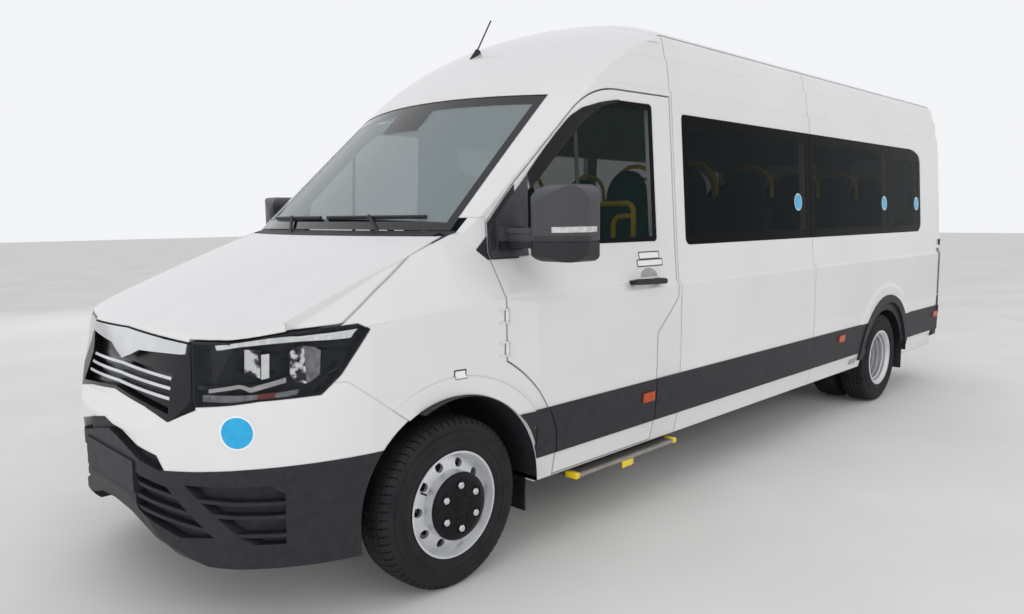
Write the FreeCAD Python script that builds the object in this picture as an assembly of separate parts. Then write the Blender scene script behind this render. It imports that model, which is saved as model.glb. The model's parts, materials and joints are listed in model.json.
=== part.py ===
import FreeCAD, Part
import math
from functools import lru_cache
import os

V = FreeCAD.Vector
os.makedirs("parts", exist_ok=True)

# Long-wheelbase, high-roof minibus with twin rear wheels, in millimetres.
# The frame has +X to the front, +Y to the vehicle's left and +Z up. Its origin is on the ground
# below the middle of the vehicle. Most places are measured along X from the front axle.

# Driving dimensions
WHEELBASE = 4490
FRONT_OVERHANG = 991
REAR_OVERHANG = 1355
BODY_HALF_WIDTH = 1020
SILL_Z = 340
NOSE_Z = 262
MOULDING_Z = (455, 672)
CREASE_Z = 1140
WINDOW_Z = (1345, 2030)
SWAGE_Z = (2140, 2300)
GUTTER_Z = 2438
ROOF_Z = 2622
WALL = 50
BONNET_T = 28
GLASS_T = 6
GLASS_INSET = 3
DOOR_GAP = 7
TYRE_R = 352
TYRE_W = 205
RIM_R = 213
FRONT_TRACK = 1735
REAR_TWIN_Y = (645, 885)
ARCH_R = 432
ARCH_INNER_Y = 500
FIT = 0.05
SEAT_GAP = 0.3
SLIVER = 200

X_FRONT = (WHEELBASE + FRONT_OVERHANG + REAR_OVERHANG) / 2
X_AXLE = X_FRONT - FRONT_OVERHANG
REAR_END = -WHEELBASE - REAR_OVERHANG
REAR_FACE = REAR_END + 28
B_SEAM = -1540
C_SEAM = -3165
NOSE_AXIS = -2200


# Path and solid helpers: x is measured from the front axle in each of them

def wire(place, path):
    """Closed wire through a path of straight ends (a, b) and arcs ((a, b) middle, (a, b) end)."""
    edges = []
    here = path[0]
    for step in path[1:]:
        if isinstance(step[0], tuple):
            middle, end = step
            edges.append(Part.Arc(place(here), place(middle), place(end)).toShape())
        else:
            end = step
            edges.append(Part.LineSegment(place(here), place(end)).toShape())
        here = end
    if here != path[0]:
        edges.append(Part.LineSegment(place(here), place(path[0])).toShape())
    return Part.Wire(edges)


def arc_centre(a, m, b):
    """Centre of the circle through three points of a plane."""
    d = 2 * (a[0] * (m[1] - b[1]) + m[0] * (b[1] - a[1]) + b[0] * (a[1] - m[1]))
    sa, sm, sb = (p[0] ** 2 + p[1] ** 2 for p in (a, m, b))
    return ((sa * (m[1] - b[1]) + sm * (b[1] - a[1]) + sb * (a[1] - m[1])) / d,
            (sa * (b[0] - m[0]) + sm * (a[0] - b[0]) + sb * (m[0] - a[0])) / d)


def unit(x, y):
    size = math.hypot(x, y)
    return (x / size, y / size)


def inset_path(path, inset):
    """Closed path with each side moved inwards, its corners mitred and its arcs kept as arcs."""
    steps = list(path[1:])
    last = steps[-1][1] if isinstance(steps[-1][0], tuple) else steps[-1]
    if last != path[0]:
        steps.append(path[0])
    here = path[0]
    sides = []
    for step in steps:
        middle, end = step if isinstance(step[0], tuple) else (None, step)
        sides.append((here, middle, end))
        here = end
    corners = [side[0] for side in sides]
    area = sum(a[0] * b[1] - b[0] * a[1] for a, b in zip(corners, corners[1:] + corners[:1]))
    turn = 1 if area > 0 else -1

    def normals(side):
        """Inward normals at the start, middle and end of a side."""
        a, m, b = side
        if m is None:
            tx, ty = unit(b[0] - a[0], b[1] - a[1])
            return [(-ty * turn, tx * turn)] * 3
        c = arc_centre(a, m, b)
        cross = (m[0] - a[0]) * (b[1] - a[1]) - (m[1] - a[1]) * (b[0] - a[0])
        sign = turn if cross > 0 else -turn
        return [unit((c[0] - q[0]) * sign, (c[1] - q[1]) * sign) for q in (a, m, b)]

    def mitre(point, n1, n2):
        k = inset / (1 + n1[0] * n2[0] + n1[1] * n2[1])
        return (point[0] + k * (n1[0] + n2[0]), point[1] + k * (n1[1] + n2[1]))

    table = [normals(side) for side in sides]
    starts = [mitre(side[0], table[i - 1][2], table[i][0]) for i, side in enumerate(sides)]
    moved = [starts[0]]
    for i, (side, normal) in enumerate(zip(sides, table)):
        end = starts[(i + 1) % len(sides)]
        if side[1] is None:
            moved.append(end)
        else:
            middle = (side[1][0] + inset * normal[1][0], side[1][1] + inset * normal[1][1])
            moved.append((middle, end))
    return moved


def prism(place, path, along, inset=0):
    """Solid swept along a vector from a closed path, drawn smaller by inset."""
    return Part.Face(wire(place, inset_path(path, inset) if inset else path)).extrude(along)


def side_prism(path, y0, y1, inset=0):
    """Solid across the vehicle from (x, z) points."""
    return prism(lambda p: V(X_AXLE + p[0], y0, p[1]), path, V(0, y1 - y0, 0), inset)


def front_prism(path, x0, x1, inset=0):
    """Solid along the vehicle from (y, z) points."""
    return prism(lambda p: V(X_AXLE + x0, p[0], p[1]), path, V(x1 - x0, 0, 0), inset)


def plan_prism(path, z0, z1, inset=0):
    """Solid between two heights from (x, y) points."""
    return prism(lambda p: V(X_AXLE + p[0], p[1], z0), path, V(0, 0, z1 - z0), inset)


def box(x0, x1, y0, y1, z0, z1):
    return Part.makeBox(x1 - x0, y1 - y0, z1 - z0, V(X_AXLE + x0, y0, z0))


def rod(start, end, radius):
    """Round bar between two (x, y, z) points."""
    a = V(X_AXLE + start[0], start[1], start[2])
    b = V(X_AXLE + end[0], end[1], end[2])
    return Part.makeCylinder(radius, (b - a).Length, a, b - a)


def drum(x, z, radius, y0, y1):
    """Disc or bore along Y."""
    return Part.makeCylinder(radius, y1 - y0, V(X_AXLE + x, y0, z), V(0, 1, 0))


def post(x, y, radius, z0, z1):
    return Part.makeCylinder(radius, z1 - z0, V(X_AXLE + x, y, z0), V(0, 0, 1))


def mirrored(shape):
    return shape.mirror(V(0, 0, 0), V(0, 1, 0))


def both_sides(shape):
    return [shape, mirrored(shape)]


def bent_bar(points, radius, bend):
    """Round bar along straight runs that are joined by arcs, as cylinders and parts of a torus."""
    p = [V(X_AXLE + a[0], a[1], a[2]) for a in points]
    pieces = []
    here = p[0]
    for before, corner, after in zip(p, p[1:], p[2:]):
        inward = (before - corner).normalize()
        outward = (after - corner).normalize()
        half = math.acos(inward.dot(outward)) / 2
        start = corner + inward * (bend / math.tan(half))
        centre = corner + (inward + outward).normalize() * (bend / math.sin(half))
        axis = outward.cross(inward).normalize()
        section = Part.Face(Part.Wire([Part.makeCircle(radius, start, inward)]))
        elbow = section.revolve(centre, axis, 180 - math.degrees(2 * half))
        pieces += [Part.makeCylinder(radius, (start - here).Length, here, start - here), elbow]
        here = corner + outward * (bend / math.tan(half))
    pieces.append(Part.makeCylinder(radius, (p[-1] - here).Length, here, p[-1] - here))
    return fused(pieces)


def fused(shapes):
    whole = shapes[0]
    for shape in shapes[1:]:
        whole = whole.fuse(shape)
    return whole.removeSplitter()


def cut_all(shape, tools):
    for tool in tools:
        shape = shape.cut(tool)
    return shape


# Outer form of the body

# Half of the front-view section, as (y inset from the widest point, z)
SIDE_SECTION = (
    (55, NOSE_Z), (42, SILL_Z), (16, MOULDING_Z[0]), (4, MOULDING_Z[1]), (0, MOULDING_Z[1] + 93),
    (0, CREASE_Z), (20, CREASE_Z + 25), (35, WINDOW_Z[0]), (78, WINDOW_Z[1]), (87, SWAGE_Z[0]),
    (97, SWAGE_Z[0] + 8), (115, SWAGE_Z[1]), (126, SWAGE_Z[1] + 8), (142, GUTTER_Z - 55),
)
# Rounded roof edge, as the middle and the end of its arc in (y inset, z)
ROOF_EDGE = ((163, GUTTER_Z - 6), (220, GUTTER_Z + 28))

# Centre line of the nose and cab, as (radius about the nose axis, z)
CREST = [(0, ROOF_Z + 20), ((581, 2600), (1130, 2405)), ((1355, 2267), (1555, 2095)), (2215, 1440),
         (2250, 1430), ((2700, 1250), (3058, 1097)), (3074, 1083), (3082, 1062), (3103, 964), (3153, 800),
         (3186, 735), (3191, 690), (3191, 430), ((3170, 330), (3120, NOSE_Z)), (0, NOSE_Z)]
# Front of the bumper in side view, below the ledge
CHIN = [(1006, 742), (975, 706), (975, 500), (986, 470), (945, 315), (925, NOSE_Z), (925, -100)]
COWL_R = (2215, 2262)

# Plan outline of the nose, as (x, y)
NOSE_PLAN = ((991, 0), (950, 400), (800, 700), (620, 840), (360, 935), (-450, 1021.5))
REAR_CORNER_R = 110

# Cab sides draw in above the crease: x, crease (y, z), shoulder (y, z) and inset of the glasshouse
SHOULDER = (
    (B_SEAM, 1001, CREASE_Z + 25, 986, WINDOW_Z[0], -1),
    (-300, 1000, 1180, 896, WINDOW_Z[0], 92),
    (-46, 985, 1140, 842, 1418, 110),
    (257, 946, 1126, 820, 1284, 130),
    (640, 856, 1080, 816, 1104, 160),
)


@lru_cache
def body_form(inset):
    """Body as one solid, with every outer face moved inwards by inset and, then, no bottom."""
    half = BODY_HALF_WIDTH + 1.5
    section = [(BODY_HALF_WIDTH - y, z) for y, z in SIDE_SECTION]
    section[0] = (section[0][0], NOSE_Z - (200 if inset else 0))
    middle, end = ((BODY_HALF_WIDTH - y, z) for y, z in ROOF_EDGE)
    top = section[-1]
    path = section + [(middle, end), ((0, ROOF_Z), (-end[0], end[1]))]
    path += [((-middle[0], middle[1]), (-top[0], top[1]))]
    path += [(-y, z) for y, z in reversed(section[:-1])]
    form = front_prism(path, REAR_END, FRONT_OVERHANG, inset)

    a, b, c, d, e, f = NOSE_PLAN
    rear = REAR_FACE
    plan = [a, (b, c), (d, e), (f[0], half), (rear + REAR_CORNER_R, half)]
    corner = REAR_CORNER_R * (1 - math.sqrt(0.5))
    plan += [((rear + corner, half - corner), (rear, half - REAR_CORNER_R)),
             (rear, REAR_CORNER_R - half), ((rear + corner, corner - half), (rear + REAR_CORNER_R, -half)),
             (f[0], -half), (e[0], -e[1]), ((d[0], -d[1]), (c[0], -c[1])), ((b[0], -b[1]), a)]
    form = form.common(plan_prism(plan, NOSE_Z - 300, ROOF_Z + 100, inset))

    tail = [(rear, -100), (rear, 700), (rear + 14, 1200), (rear + 40, 2250),
            ((rear + 70, 2440), (rear + 190, 2590)), (rear + 900, 2680), (1100, 2680), (1100, -100)]
    form = form.common(side_prism(tail, -1100, 1100, inset))

    crest = CREST
    if inset:
        low = NOSE_Z - 300
        crest = inset_path(CREST[:-1] + [(CREST[-2][1][0], low), (0, low)], inset)
        crest[0] = (0, crest[0][1])
        crest[-2:] = [(0, low), crest[0]]
    crest_face = Part.Face(wire(lambda p: V(X_AXLE + NOSE_AXIS + p[0], 0, p[1]), crest))
    dome = crest_face.revolve(V(X_AXLE + NOSE_AXIS, 0, 0), V(0, 0, 1), 360)
    front = dome.common(box(NOSE_AXIS, 1200, -1100, 1100, -200, 2700))
    back = box(REAR_END, NOSE_AXIS, -1100, 1100, -200, 2700)
    chin = side_prism(CHIN + [(1200, -100), (1200, 742)], -1100, 1100, -inset)
    form = fused([form.common(front).cut(chin), form.common(back)])

    return cut_all(form, both_sides(shoulder_tool(inset)))


def shoulder_tool(inset):
    """What is cut from one side of the cab, above the crease of the wing and door."""
    upper = [(BODY_HALF_WIDTH - y, z) for y, z in SIDE_SECTION if z > WINDOW_Z[0]]
    outside = BODY_HALF_WIDTH + 80
    sections = []
    for x, crease_y, crease_z, belt_y, belt_z, taper in SHOULDER:
        path = [(outside, crease_z), (crease_y, crease_z), (belt_y, belt_z)]
        path += [(y - taper, z) for y, z in upper]
        path.append((outside, upper[-1][1] + 120))
        path = [(y - inset, z) for y, z in path]
        sections.append(wire(lambda p: V(X_AXLE + x, p[0], p[1]), path))
    return Part.makeLoft(sections, True, True)


# Regions of the body: seams in side view are (x, z), in front view (y, z), in plan (x, y)

DOOR_TOP_Z = 2112
DOOR_PATH = [(-262, 1345), (-262, 905), ((-395, 800), (-548, 560)), (-558, SILL_Z + 4), (-1318, SILL_Z + 4),
             (-1330, 905), (-1420, 985), (-1515, 1075), (-1524, 1200), (-1524, DOOR_TOP_Z),
             (-1130, DOOR_TOP_Z), ((-945, 2080), (-800, 1990)), (-400, 1628), (-262, 1480)]
DOOR_GLASS_PATH = [(-425, 1372), (-1350, 1372), ((-1372, 1378), (-1378, 1400)), (-1378, 2030),
                   ((-1370, 2052), (-1350, 2058)), (-1130, 2058), ((-1000, 2030), (-885, 1960)),
                   (-500, 1612), (-425, 1520)]
MIRROR_PATCH = [(-230, 1326), (-230, 1450), (-425, 1640), (-425, 1326)]
WING_PATCH = [(-209, 1366), (-264, 1424), (-264, 1326), (-250, 1326)]
DOOR_DIVIDER = [(-832, 1300), (-808, 1300), (-808, 2100), (-832, 2100)]
BONNET_HALF = 822
# Right half of each path of the nose, from the middle outwards; the left half mirrors it
BONNET_EDGE = [(0, 1082), (139, 1077), (493, 1064), (712, 1089), (863, 1112), (900, 1125)]
BONNET_SEAM = [(-110, 798), (276, 846), (488, 882), (640, 900)]
LAMP_PATH = [(900, 1050), (804, 1077), (629, 1109), (393, 1124), (362, 1103), (472, 947), (540, 881),
             (721, 870), (873, 845), (920, 840)]
LAMP_INNER = [(500, 1150), (509, 1025), (585, 838), (590, 800)]
GRILLE_FOOT = [(0, 838), (282, 813), (473, 783), (588, 836)]
GRILLE_WELL = [(0, 1078), (460, 1058), (479, 1010), (424, 931), (458, 808), (282, 826), (0, 851)]
BAR_TOP = [(0, 1079), (139, 1073), (337, 1063), (494, 1059), (600, 1066)]
BAR_FOOT = [(600, 1038), (461, 1019), (150, 1005), (80, 981), (0, 958)]
SLATS = ((0, 944, 440, 930), (0, 908, 440, 897), (0, 876, 440, 862))
SLAT_H = 11
BAR_PROUD = 4
BAR_T = 14
BUMPER_EDGE = [(0, 735), (145, 708), (408, 652), (441, 600), (572, 611), (714, 626), (849, 636), (1100, 655)]
LEDGE = [(0, 735), (145, 708), (408, 652), (441, 600), (416, 596), (94, 667), (0, 684)]
LIP_ARCH = [(0, 396), (160, 384), (424, 310), (470, 200)]
PLATE = (-260, 260, 484, 606)
PLATE_DEPTH = (12, 9)
# Wells of the bumper: outline, and the ends (y, z) of the slats that are left standing in it
BUMPER_WELLS = (
    ([(268, 566), (446, 540), (628, 372), (500, 356), (268, 424)],
     ((262, 536, 640, 492), (262, 488, 640, 444), (262, 444, 640, 396))),
    ([(528, 556), (785, 566), (814, 535), (812, 350), (742, 352)],
     ((500, 513, 850, 506), (500, 465, 850, 456), (500, 399, 850, 388))),
)
BUMPER_SLAT_H = 14
WELL_DEPTH = 34
SEAM_DEPTH = 5
WING_SEAM = [(452, 920), (195, 722)]
# Raised band round the front arch as height, radius and thickness below the paint
WING_FLARE = (8, 508, 14)
WING_LEAST = 1e6
WINDSCREEN_PATH = [(-792, 1448), ((0, 1452), (792, 1448)), (742, 2072), ((0, 2088), (-742, 2072))]
# One band of flush side glass; its panes as front end, rear end and top of the sight opening
GLASS_BAND = [(-1665, 1345), ((-1637, 1357), (-1625, 1385)), (-1625, 2005), ((-1632, 2023), (-1650, 2030)),
              (-5000, 2030), ((-5140, 2023), (-5250, 1996)), ((-5296, 1960), (-5310, 1900)), (-5310, 1435),
              ((-5284, 1371), (-5220, 1345))]
SIDE_PANES = ((-1625, -3155, 1975), (-3160, -4612, 1975), (-4617, -5310, 1930))
PANE_BORDER = 55
TAIL_LAMP_Z = (770, 1190)
REAR_DOOR_HALF = 862
REAR_DOOR_Z = (600, 2330)
REAR_GLASS = (150, 730, 1400, 2020)
SKIRT_Z = 400


def skin(outer, inner, region):
    """Layer of the body between two insets, within a region."""
    return body_form(outer).common(region).cut(body_form(inner))


def whole_path(half):
    """Closed front-view path from its right half, whose ends lie on the middle line."""
    ends = [p for p in half if p[0] != 0]
    return half + [(-y, z) for y, z in reversed(ends)]


OUTER = body_form(0)
INNER = body_form(WALL)
SHELL = OUTER.cut(INNER)
GLASS_SHELL = body_form(GLASS_INSET).cut(body_form(GLASS_INSET + GLASS_T))

# Wheel arches: round the wheel and open below
ARCH_AT = ((-10, 368), (-WHEELBASE, 368))
ARCHES = []
for x, z in ARCH_AT:
    arch = drum(x, z, ARCH_R, ARCH_INNER_Y, 1100).fuse(box(x - ARCH_R, x + ARCH_R, ARCH_INNER_Y, 1100, 0, z))
    ARCHES += both_sides(arch)
SHELL = cut_all(SHELL, ARCHES)

# Door-wide openings, cut from the shell and used to make the doors
door_hole = side_prism(DOOR_PATH, 560, 1100)
door_block = side_prism(DOOR_PATH, 560, 1100, DOOR_GAP)
door_window = side_prism(DOOR_GLASS_PATH, 560, 1100)
door_left = SHELL.common(door_block).cut(door_window)
door_glass = GLASS_SHELL.common(side_prism(inset_path(DOOR_GLASS_PATH, SEAT_GAP), 560, 1100))

REAR_DEPTH = (REAR_FACE - 50, REAR_FACE + 130)
rear_block = box(*REAR_DEPTH, DOOR_GAP / 2, REAR_DOOR_HALF - DOOR_GAP,
                 REAR_DOOR_Z[0] + DOOR_GAP, REAR_DOOR_Z[1] - DOOR_GAP)
rear_hole = box(*REAR_DEPTH, -REAR_DOOR_HALF, REAR_DOOR_HALF, *REAR_DOOR_Z)
y0, y1, z0, z1 = REAR_GLASS
rear_window = box(*REAR_DEPTH, y0, y1, z0, z1)
rear_door = SHELL.common(rear_block).cut(rear_window)
rear_glass = GLASS_SHELL.common(box(*REAR_DEPTH, y0 + SEAT_GAP, y1 - SEAT_GAP, z0 + SEAT_GAP, z1 - SEAT_GAP))

windscreen_hole = front_prism(WINDSCREEN_PATH, -1300, 300)
windscreen = GLASS_SHELL.common(front_prism(WINDSCREEN_PATH, -1300, 300, SEAT_GAP))

pane_holes = both_sides(skin(0, GLASS_INSET + GLASS_T + SEAT_GAP, side_prism(GLASS_BAND, 800, 1100)))
panes = []
glass_band = side_prism(GLASS_BAND, 800, 1100, SEAT_GAP)
for x0, x1, top in SIDE_PANES:
    panes += both_sides(GLASS_SHELL.common(glass_band).common(box(x1, x0, 800, 1100, 1200, 2200)))
    sight = box(x1 + PANE_BORDER, x0 - PANE_BORDER, 800, 1100, WINDOW_Z[0] + PANE_BORDER, top)
    pane_holes += both_sides(sight)

bonnet_front = whole_path([(0, 1500), (900, 1500)] + BONNET_EDGE[::-1])
bonnet_plan = BONNET_SEAM + [(1100, 900), (1100, -900)] + [(x, -y) for x, y in BONNET_SEAM[::-1]]


def bonnet_space(gap):
    """Space of the bonnet, larger on every side by a gap."""
    ring = post(NOSE_AXIS, 0, 3300, 1000, 1600).cut(post(NOSE_AXIS, 0, COWL_R[1] - gap, 900, 1700))
    ring = ring.common(front_prism(bonnet_front, -300, 1100, -gap))
    return ring.common(plan_prism(bonnet_plan, 1000, 1600, -gap))


def lamp_space(gap):
    """Space of the left headlamp, smaller on every side by a gap."""
    front = front_prism(LAMP_INNER + [(1100, 800), (1100, 1150)], 0, 1100, gap)
    return side_prism(LAMP_PATH, 480, 1100, gap).common(front)


bonnet_cut = bonnet_space(DOOR_GAP - 1)
lamp_block = lamp_space(0)
lamp_room = side_prism(LAMP_PATH, 480, 1100, -DOOR_GAP).common(box(0, 1100, 490, 1100, 800, 1200))
bonnet = cut_all(skin(0, BONNET_T, bonnet_space(0)), both_sides(lamp_room))

# Headlamps: a clear cover in front of a dark tray with two reflector bowls
LENS_T = 4
TRAY_WALL = 9
TRAY_FLOOR = WALL - 8
BOWL_TOP = 14
BOWL_T = 6
BOWLS = ((748, 1000, 44), (842, 992, 54))
LAMP_SHELF = [(860, 905), (640, 925), (640, 937), (860, 921)]
lens = skin(0, LENS_T, lamp_block)
tray_well = lamp_space(TRAY_WALL)
tray = skin(LENS_T + SEAT_GAP, WALL, lamp_block).cut(skin(0, TRAY_FLOOR, tray_well))
bowl_space = skin(BOWL_TOP, TRAY_FLOOR, tray_well)
for y, z, radius in BOWLS:
    bowl = rod((400, y, z), (1000, y, z), radius).cut(rod((400, y, z), (1000, y, z), radius - BOWL_T))
    tray = tray.fuse(bowl.common(bowl_space))
tray = tray.fuse(side_prism(LAMP_SHELF, 480, 1100).common(bowl_space))

# Grille: gloss black with a well behind plated slats, and a plated bar with a V in its middle
grille_block = front_prism(whole_path(GRILLE_FOOT + [(588, 1150), (0, 1150)]), 500, 1050)
grille_well = front_prism(whole_path(GRILLE_WELL), 500, 1050)
lamps = both_sides(lamp_block)
grille = cut_all(SHELL.common(grille_block), lamps + [bonnet_cut])
grille = grille.cut(skin(0, WELL_DEPTH, grille_well))
bar_block = front_prism(whole_path(BAR_TOP + BAR_FOOT), 500, 1050)
bar = cut_all(skin(-BAR_PROUD, BAR_T, bar_block), both_sides(lamp_room) + [bonnet_cut])
slat_skin = skin(SEAM_DEPTH, WALL - 8, grille_well)
slats = []
for y0, z0, y1, z1 in SLATS:
    path = whole_path([(0, z0), (y1 + 60, z1), (y1 + 60, z1 - SLAT_H), (0, z0 - SLAT_H)])
    slats.append(slat_skin.common(front_prism(path, 500, 1050)))
grille_bar = Part.makeCompound([bar] + slats)
grille = cut_all(grille, [bar] + slats)

# Bumper: white above, grained black below with a ledge, a blank plate and slatted wells
black_block = front_prism(whole_path(BUMPER_EDGE + [(1100, 0), (0, 0)]), 150, 1100)
seam_a, seam_b = WING_SEAM
bumper_block = side_prism([seam_a, (1100, seam_a[1]), (1100, 0), (seam_b[0], 0), seam_b], -1100, 1100)
bumper_shell = cut_all(SHELL.common(bumper_block), lamps + [grille_block, bonnet_cut])
bumper_black = bumper_shell.common(black_block)
bumper_white = bumper_shell.cut(black_block)
ledge = skin(0, WELL_DEPTH, front_prism(whole_path(LEDGE), 500, 1050))
bumper_black = cut_all(bumper_black, [ledge, front_prism(whole_path(LIP_ARCH + [(0, 200)]), 500, 1100)])
for outline, slats in BUMPER_WELLS:
    well_block = front_prism(outline, 400, 1050)
    bars = [front_prism([(y0, z0), (y1, z1), (y1, z1 - BUMPER_SLAT_H), (y0, z0 - BUMPER_SLAT_H)], 390, 1060)
            for y0, z0, y1, z1 in slats]
    room = cut_all(skin(0, WELL_DEPTH, well_block), bars)
    bumper_black = cut_all(bumper_black, both_sides(room) + both_sides(skin(0, SEAM_DEPTH, well_block)))
plate_back, plate_front = PLATE_DEPTH
plate = box(CHIN[1][0] - plate_back, CHIN[1][0] + plate_front, *PLATE)
bumper_black = fused([bumper_black, plate])

nose_block = fused([box(-262, 1100, -1100, 1100, 0, 1500), box(-560, -262, -1100, 1100, 0, 905)])
wing_cuts = lamps + both_sides(door_hole) + [grille_block, bonnet_cut, bumper_block, windscreen_hole]
cowl_ring = post(NOSE_AXIS, 0, COWL_R[1] + 60, 1200, 1446)
cowl_ring = cowl_ring.cut(post(NOSE_AXIS, 0, COWL_R[0] - 60, 1100, 2800))
below_glass = box(-300, 400, -BONNET_HALF, BONNET_HALF, 1200, 1446)
cowl_region = cowl_ring.common(below_glass)
middle = fused([box(-300, 400, -BONNET_HALF - 5, BONNET_HALF + 5, 1200, 1500),
                box(500, 1100, -500, 500, 600, 1200)])
wings = cut_all(SHELL.common(nose_block), wing_cuts + [cowl_region, middle])
flare_proud, flare_r, flare_t = WING_FLARE
flare_ring = skin(-flare_proud, flare_t, drum(*ARCH_AT[0], flare_r, 800, 1100))
over_moulding = box(-600, -415, 800, 1100, 0, MOULDING_Z[1] + 2)
flare_ring = cut_all(flare_ring, [ARCHES[0], door_hole, bumper_block, over_moulding])
wings = fused([wings] + both_sides(flare_ring))
wings = Part.makeCompound([solid for solid in wings.Solids if solid.Volume > WING_LEAST])
cowl = cut_all(SHELL.common(cowl_region), [bonnet_cut, windscreen_hole])

cab_cuts = [nose_block, windscreen_hole] + both_sides(door_hole)
cab = cut_all(SHELL.common(box(B_SEAM, 1100, -1100, 1100, 0, 2700)), cab_cuts)
roof = SHELL.common(box(REAR_END, B_SEAM, -1100, 1100, GUTTER_Z - 2, 2700))
wall_region = box(REAR_END, B_SEAM, 0, 1100, 0, GUTTER_Z - 2)
skirt_cut = box(REAR_END, -WHEELBASE, -1100, 1100, 0, SKIRT_Z)
sill_cut = box(-WHEELBASE, 150, -1100, 1100, 0, SILL_Z)
side_wall = cut_all(SHELL.common(wall_region), pane_holes + [rear_hole, skirt_cut, sill_cut])
cab = cab.cut(sill_cut)
wings = wings.cut(sill_cut)

# Seams of the body: narrow grooves in the paint
SEAM_W = 6
hoops = [skin(0, SEAM_DEPTH, box(x - SEAM_W / 2, x + SEAM_W / 2, -1100, 1100, SILL_Z, 2700))
         for x in (B_SEAM, C_SEAM)]
gutter = skin(0, SEAM_DEPTH, box(REAR_END, B_SEAM, -1100, 1100, GUTTER_Z - 8, GUTTER_Z - 2))
side_wall = cut_all(side_wall, hoops + [gutter])
cab = cab.cut(hoops[0])
roof = cut_all(roof, hoops)

# Side mouldings: bands that stand out of the body, and a raised flare round each rear arch

MOULDING_T = 8
FLARE_T = 18
FLARE_R = 506
# Swelling of the paintwork above the rear flare: height and its radius at the wall and at the top
SWELL = (10, 622, 560)
PATCH_T = 4
HANDLE = [(-1103, 1174), (-1120, 1168), (-1350, 1160), (-1366, 1166), (-1366, 1180), (-1350, 1188),
          (-1120, 1196), (-1103, 1191)]
HANDLE_FEET = (-1356, -1146)
band = skin(-MOULDING_T, 0, box(REAR_END, -420, 800, 1100, *MOULDING_Z))
door_moulding = band.common(door_block)
handle_feet = [box(x, x + 34, 990, 1032, 1168, 1188) for x in HANDLE_FEET]
handle = fused([side_prism(HANDLE, 1030, 1048)] + handle_feet).cut(OUTER)
mirror_patch = skin(-PATCH_T, 0, side_prism(MIRROR_PATCH, 560, 1100).common(door_block))
divider = skin(0, GLASS_INSET, side_prism(DOOR_DIVIDER, 560, 1100).common(door_window))
door_trim = Part.makeCompound([door_moulding, handle, mirror_patch, divider])
flare_disc = drum(-WHEELBASE, TYRE_R, FLARE_R, 800, 1100)
flare = skin(-FLARE_T, 0, flare_disc)
flare = cut_all(flare, [ARCHES[2], box(REAR_END, 0, 800, 1100, 0, SKIRT_Z)])
side_moulding = cut_all(band, [door_hole, ARCHES[0], ARCHES[2], flare_disc])
side_moulding = side_moulding.common(box(REAR_FACE + 2, 0, 800, 1100, 0, 1000))
wing_patch = skin(-PATCH_T, 0, side_prism(WING_PATCH, 560, 1100)).cut(door_hole)
mouldings = Part.makeCompound(both_sides(side_moulding) + both_sides(flare) + both_sides(wing_patch))
swell_t, foot_r, top_r = SWELL
swell = Part.makeCone(foot_r + 20, top_r, 24, V(X_AXLE - WHEELBASE, BODY_HALF_WIDTH - 10, TYRE_R), V(0, 1, 0))
swell = swell.cut(drum(-WHEELBASE, TYRE_R, FLARE_R + SEAT_GAP, 800, 1100))
swell = swell.common(box(REAR_END, 0, 800, 1100, MOULDING_Z[1] + SEAT_GAP, 1200))
side_wall = side_wall.fuse(body_form(-swell_t).common(swell).cut(INNER)).removeSplitter()

# Tail lamps stand in the rear corners
lamp_box = box(REAR_FACE - 5, REAR_FACE + 62, REAR_DOOR_HALF + 26, 1100, *TAIL_LAMP_Z)
tail_lamp = SHELL.common(lamp_box)
side_wall = side_wall.cut(lamp_box)

# Rear bumper with a tread in the middle
rear_bumper_plan = [(REAR_END + 30, 990), (REAR_END, 930), (REAR_END, -930), (REAR_END + 30, -990),
                    (REAR_END + 210, -1002), (REAR_END + 210, -960), (REAR_END + 70, -900),
                    (REAR_END + 70, 900), (REAR_END + 210, 960), (REAR_END + 210, 1002)]
BUMPER_Z = (400, 560)
rear_bumper = plan_prism(rear_bumper_plan, *BUMPER_Z)
mouldings = mouldings.cut(plan_prism(rear_bumper_plan, BUMPER_Z[0] - 10, BUMPER_Z[1] + 10, -4))
rear_bumper = rear_bumper.cut(box(REAR_END - 10, REAR_END + 40, -420, 420, 500, 600))
bumper_room = plan_prism(rear_bumper_plan, BUMPER_Z[0] - SEAT_GAP, BUMPER_Z[1] + SEAT_GAP, -SEAT_GAP)
side_wall = side_wall.cut(bumper_room)

# Hinges: a pin on the body turns in a knuckle on the door
PIN_R = 4
KNUCKLE_R = 8
KNUCKLE_H = 44
PIN_END = 10
HINGE_ROOM = 5


def hinge(x, y, z, body_box, door_boxes):
    """Upright hinge: what the body and the door each gain, and the room it needs in both."""
    low = z - KNUCKLE_H / 2
    high = z + KNUCKLE_H / 2
    leaves = [box(x0, x1, ya, yb, low, high) for x0, x1, ya, yb in door_boxes]
    knuckle = fused([post(x, y, KNUCKLE_R, low, high)] + leaves)
    knuckle = knuckle.cut(post(x, y, PIN_R + FIT, low - 1, high + 1))
    pins = [post(x, y, PIN_R, low - PIN_END, high + PIN_END)]
    x0, x1, ya, yb = body_box
    for z0 in (low - PIN_END, high + SEAT_GAP):
        pins.append(post(x, y, KNUCKLE_R, z0, z0 + PIN_END - SEAT_GAP))
        pins.append(box(x0, x1, ya, yb, z0, z0 + PIN_END - SEAT_GAP))
    free = KNUCKLE_R + HINGE_ROOM
    room = box(x - free, x + free, y - 3 * KNUCKLE_R, y + 40, low - PIN_END, high + PIN_END)
    return fused(pins), knuckle, room


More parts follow.
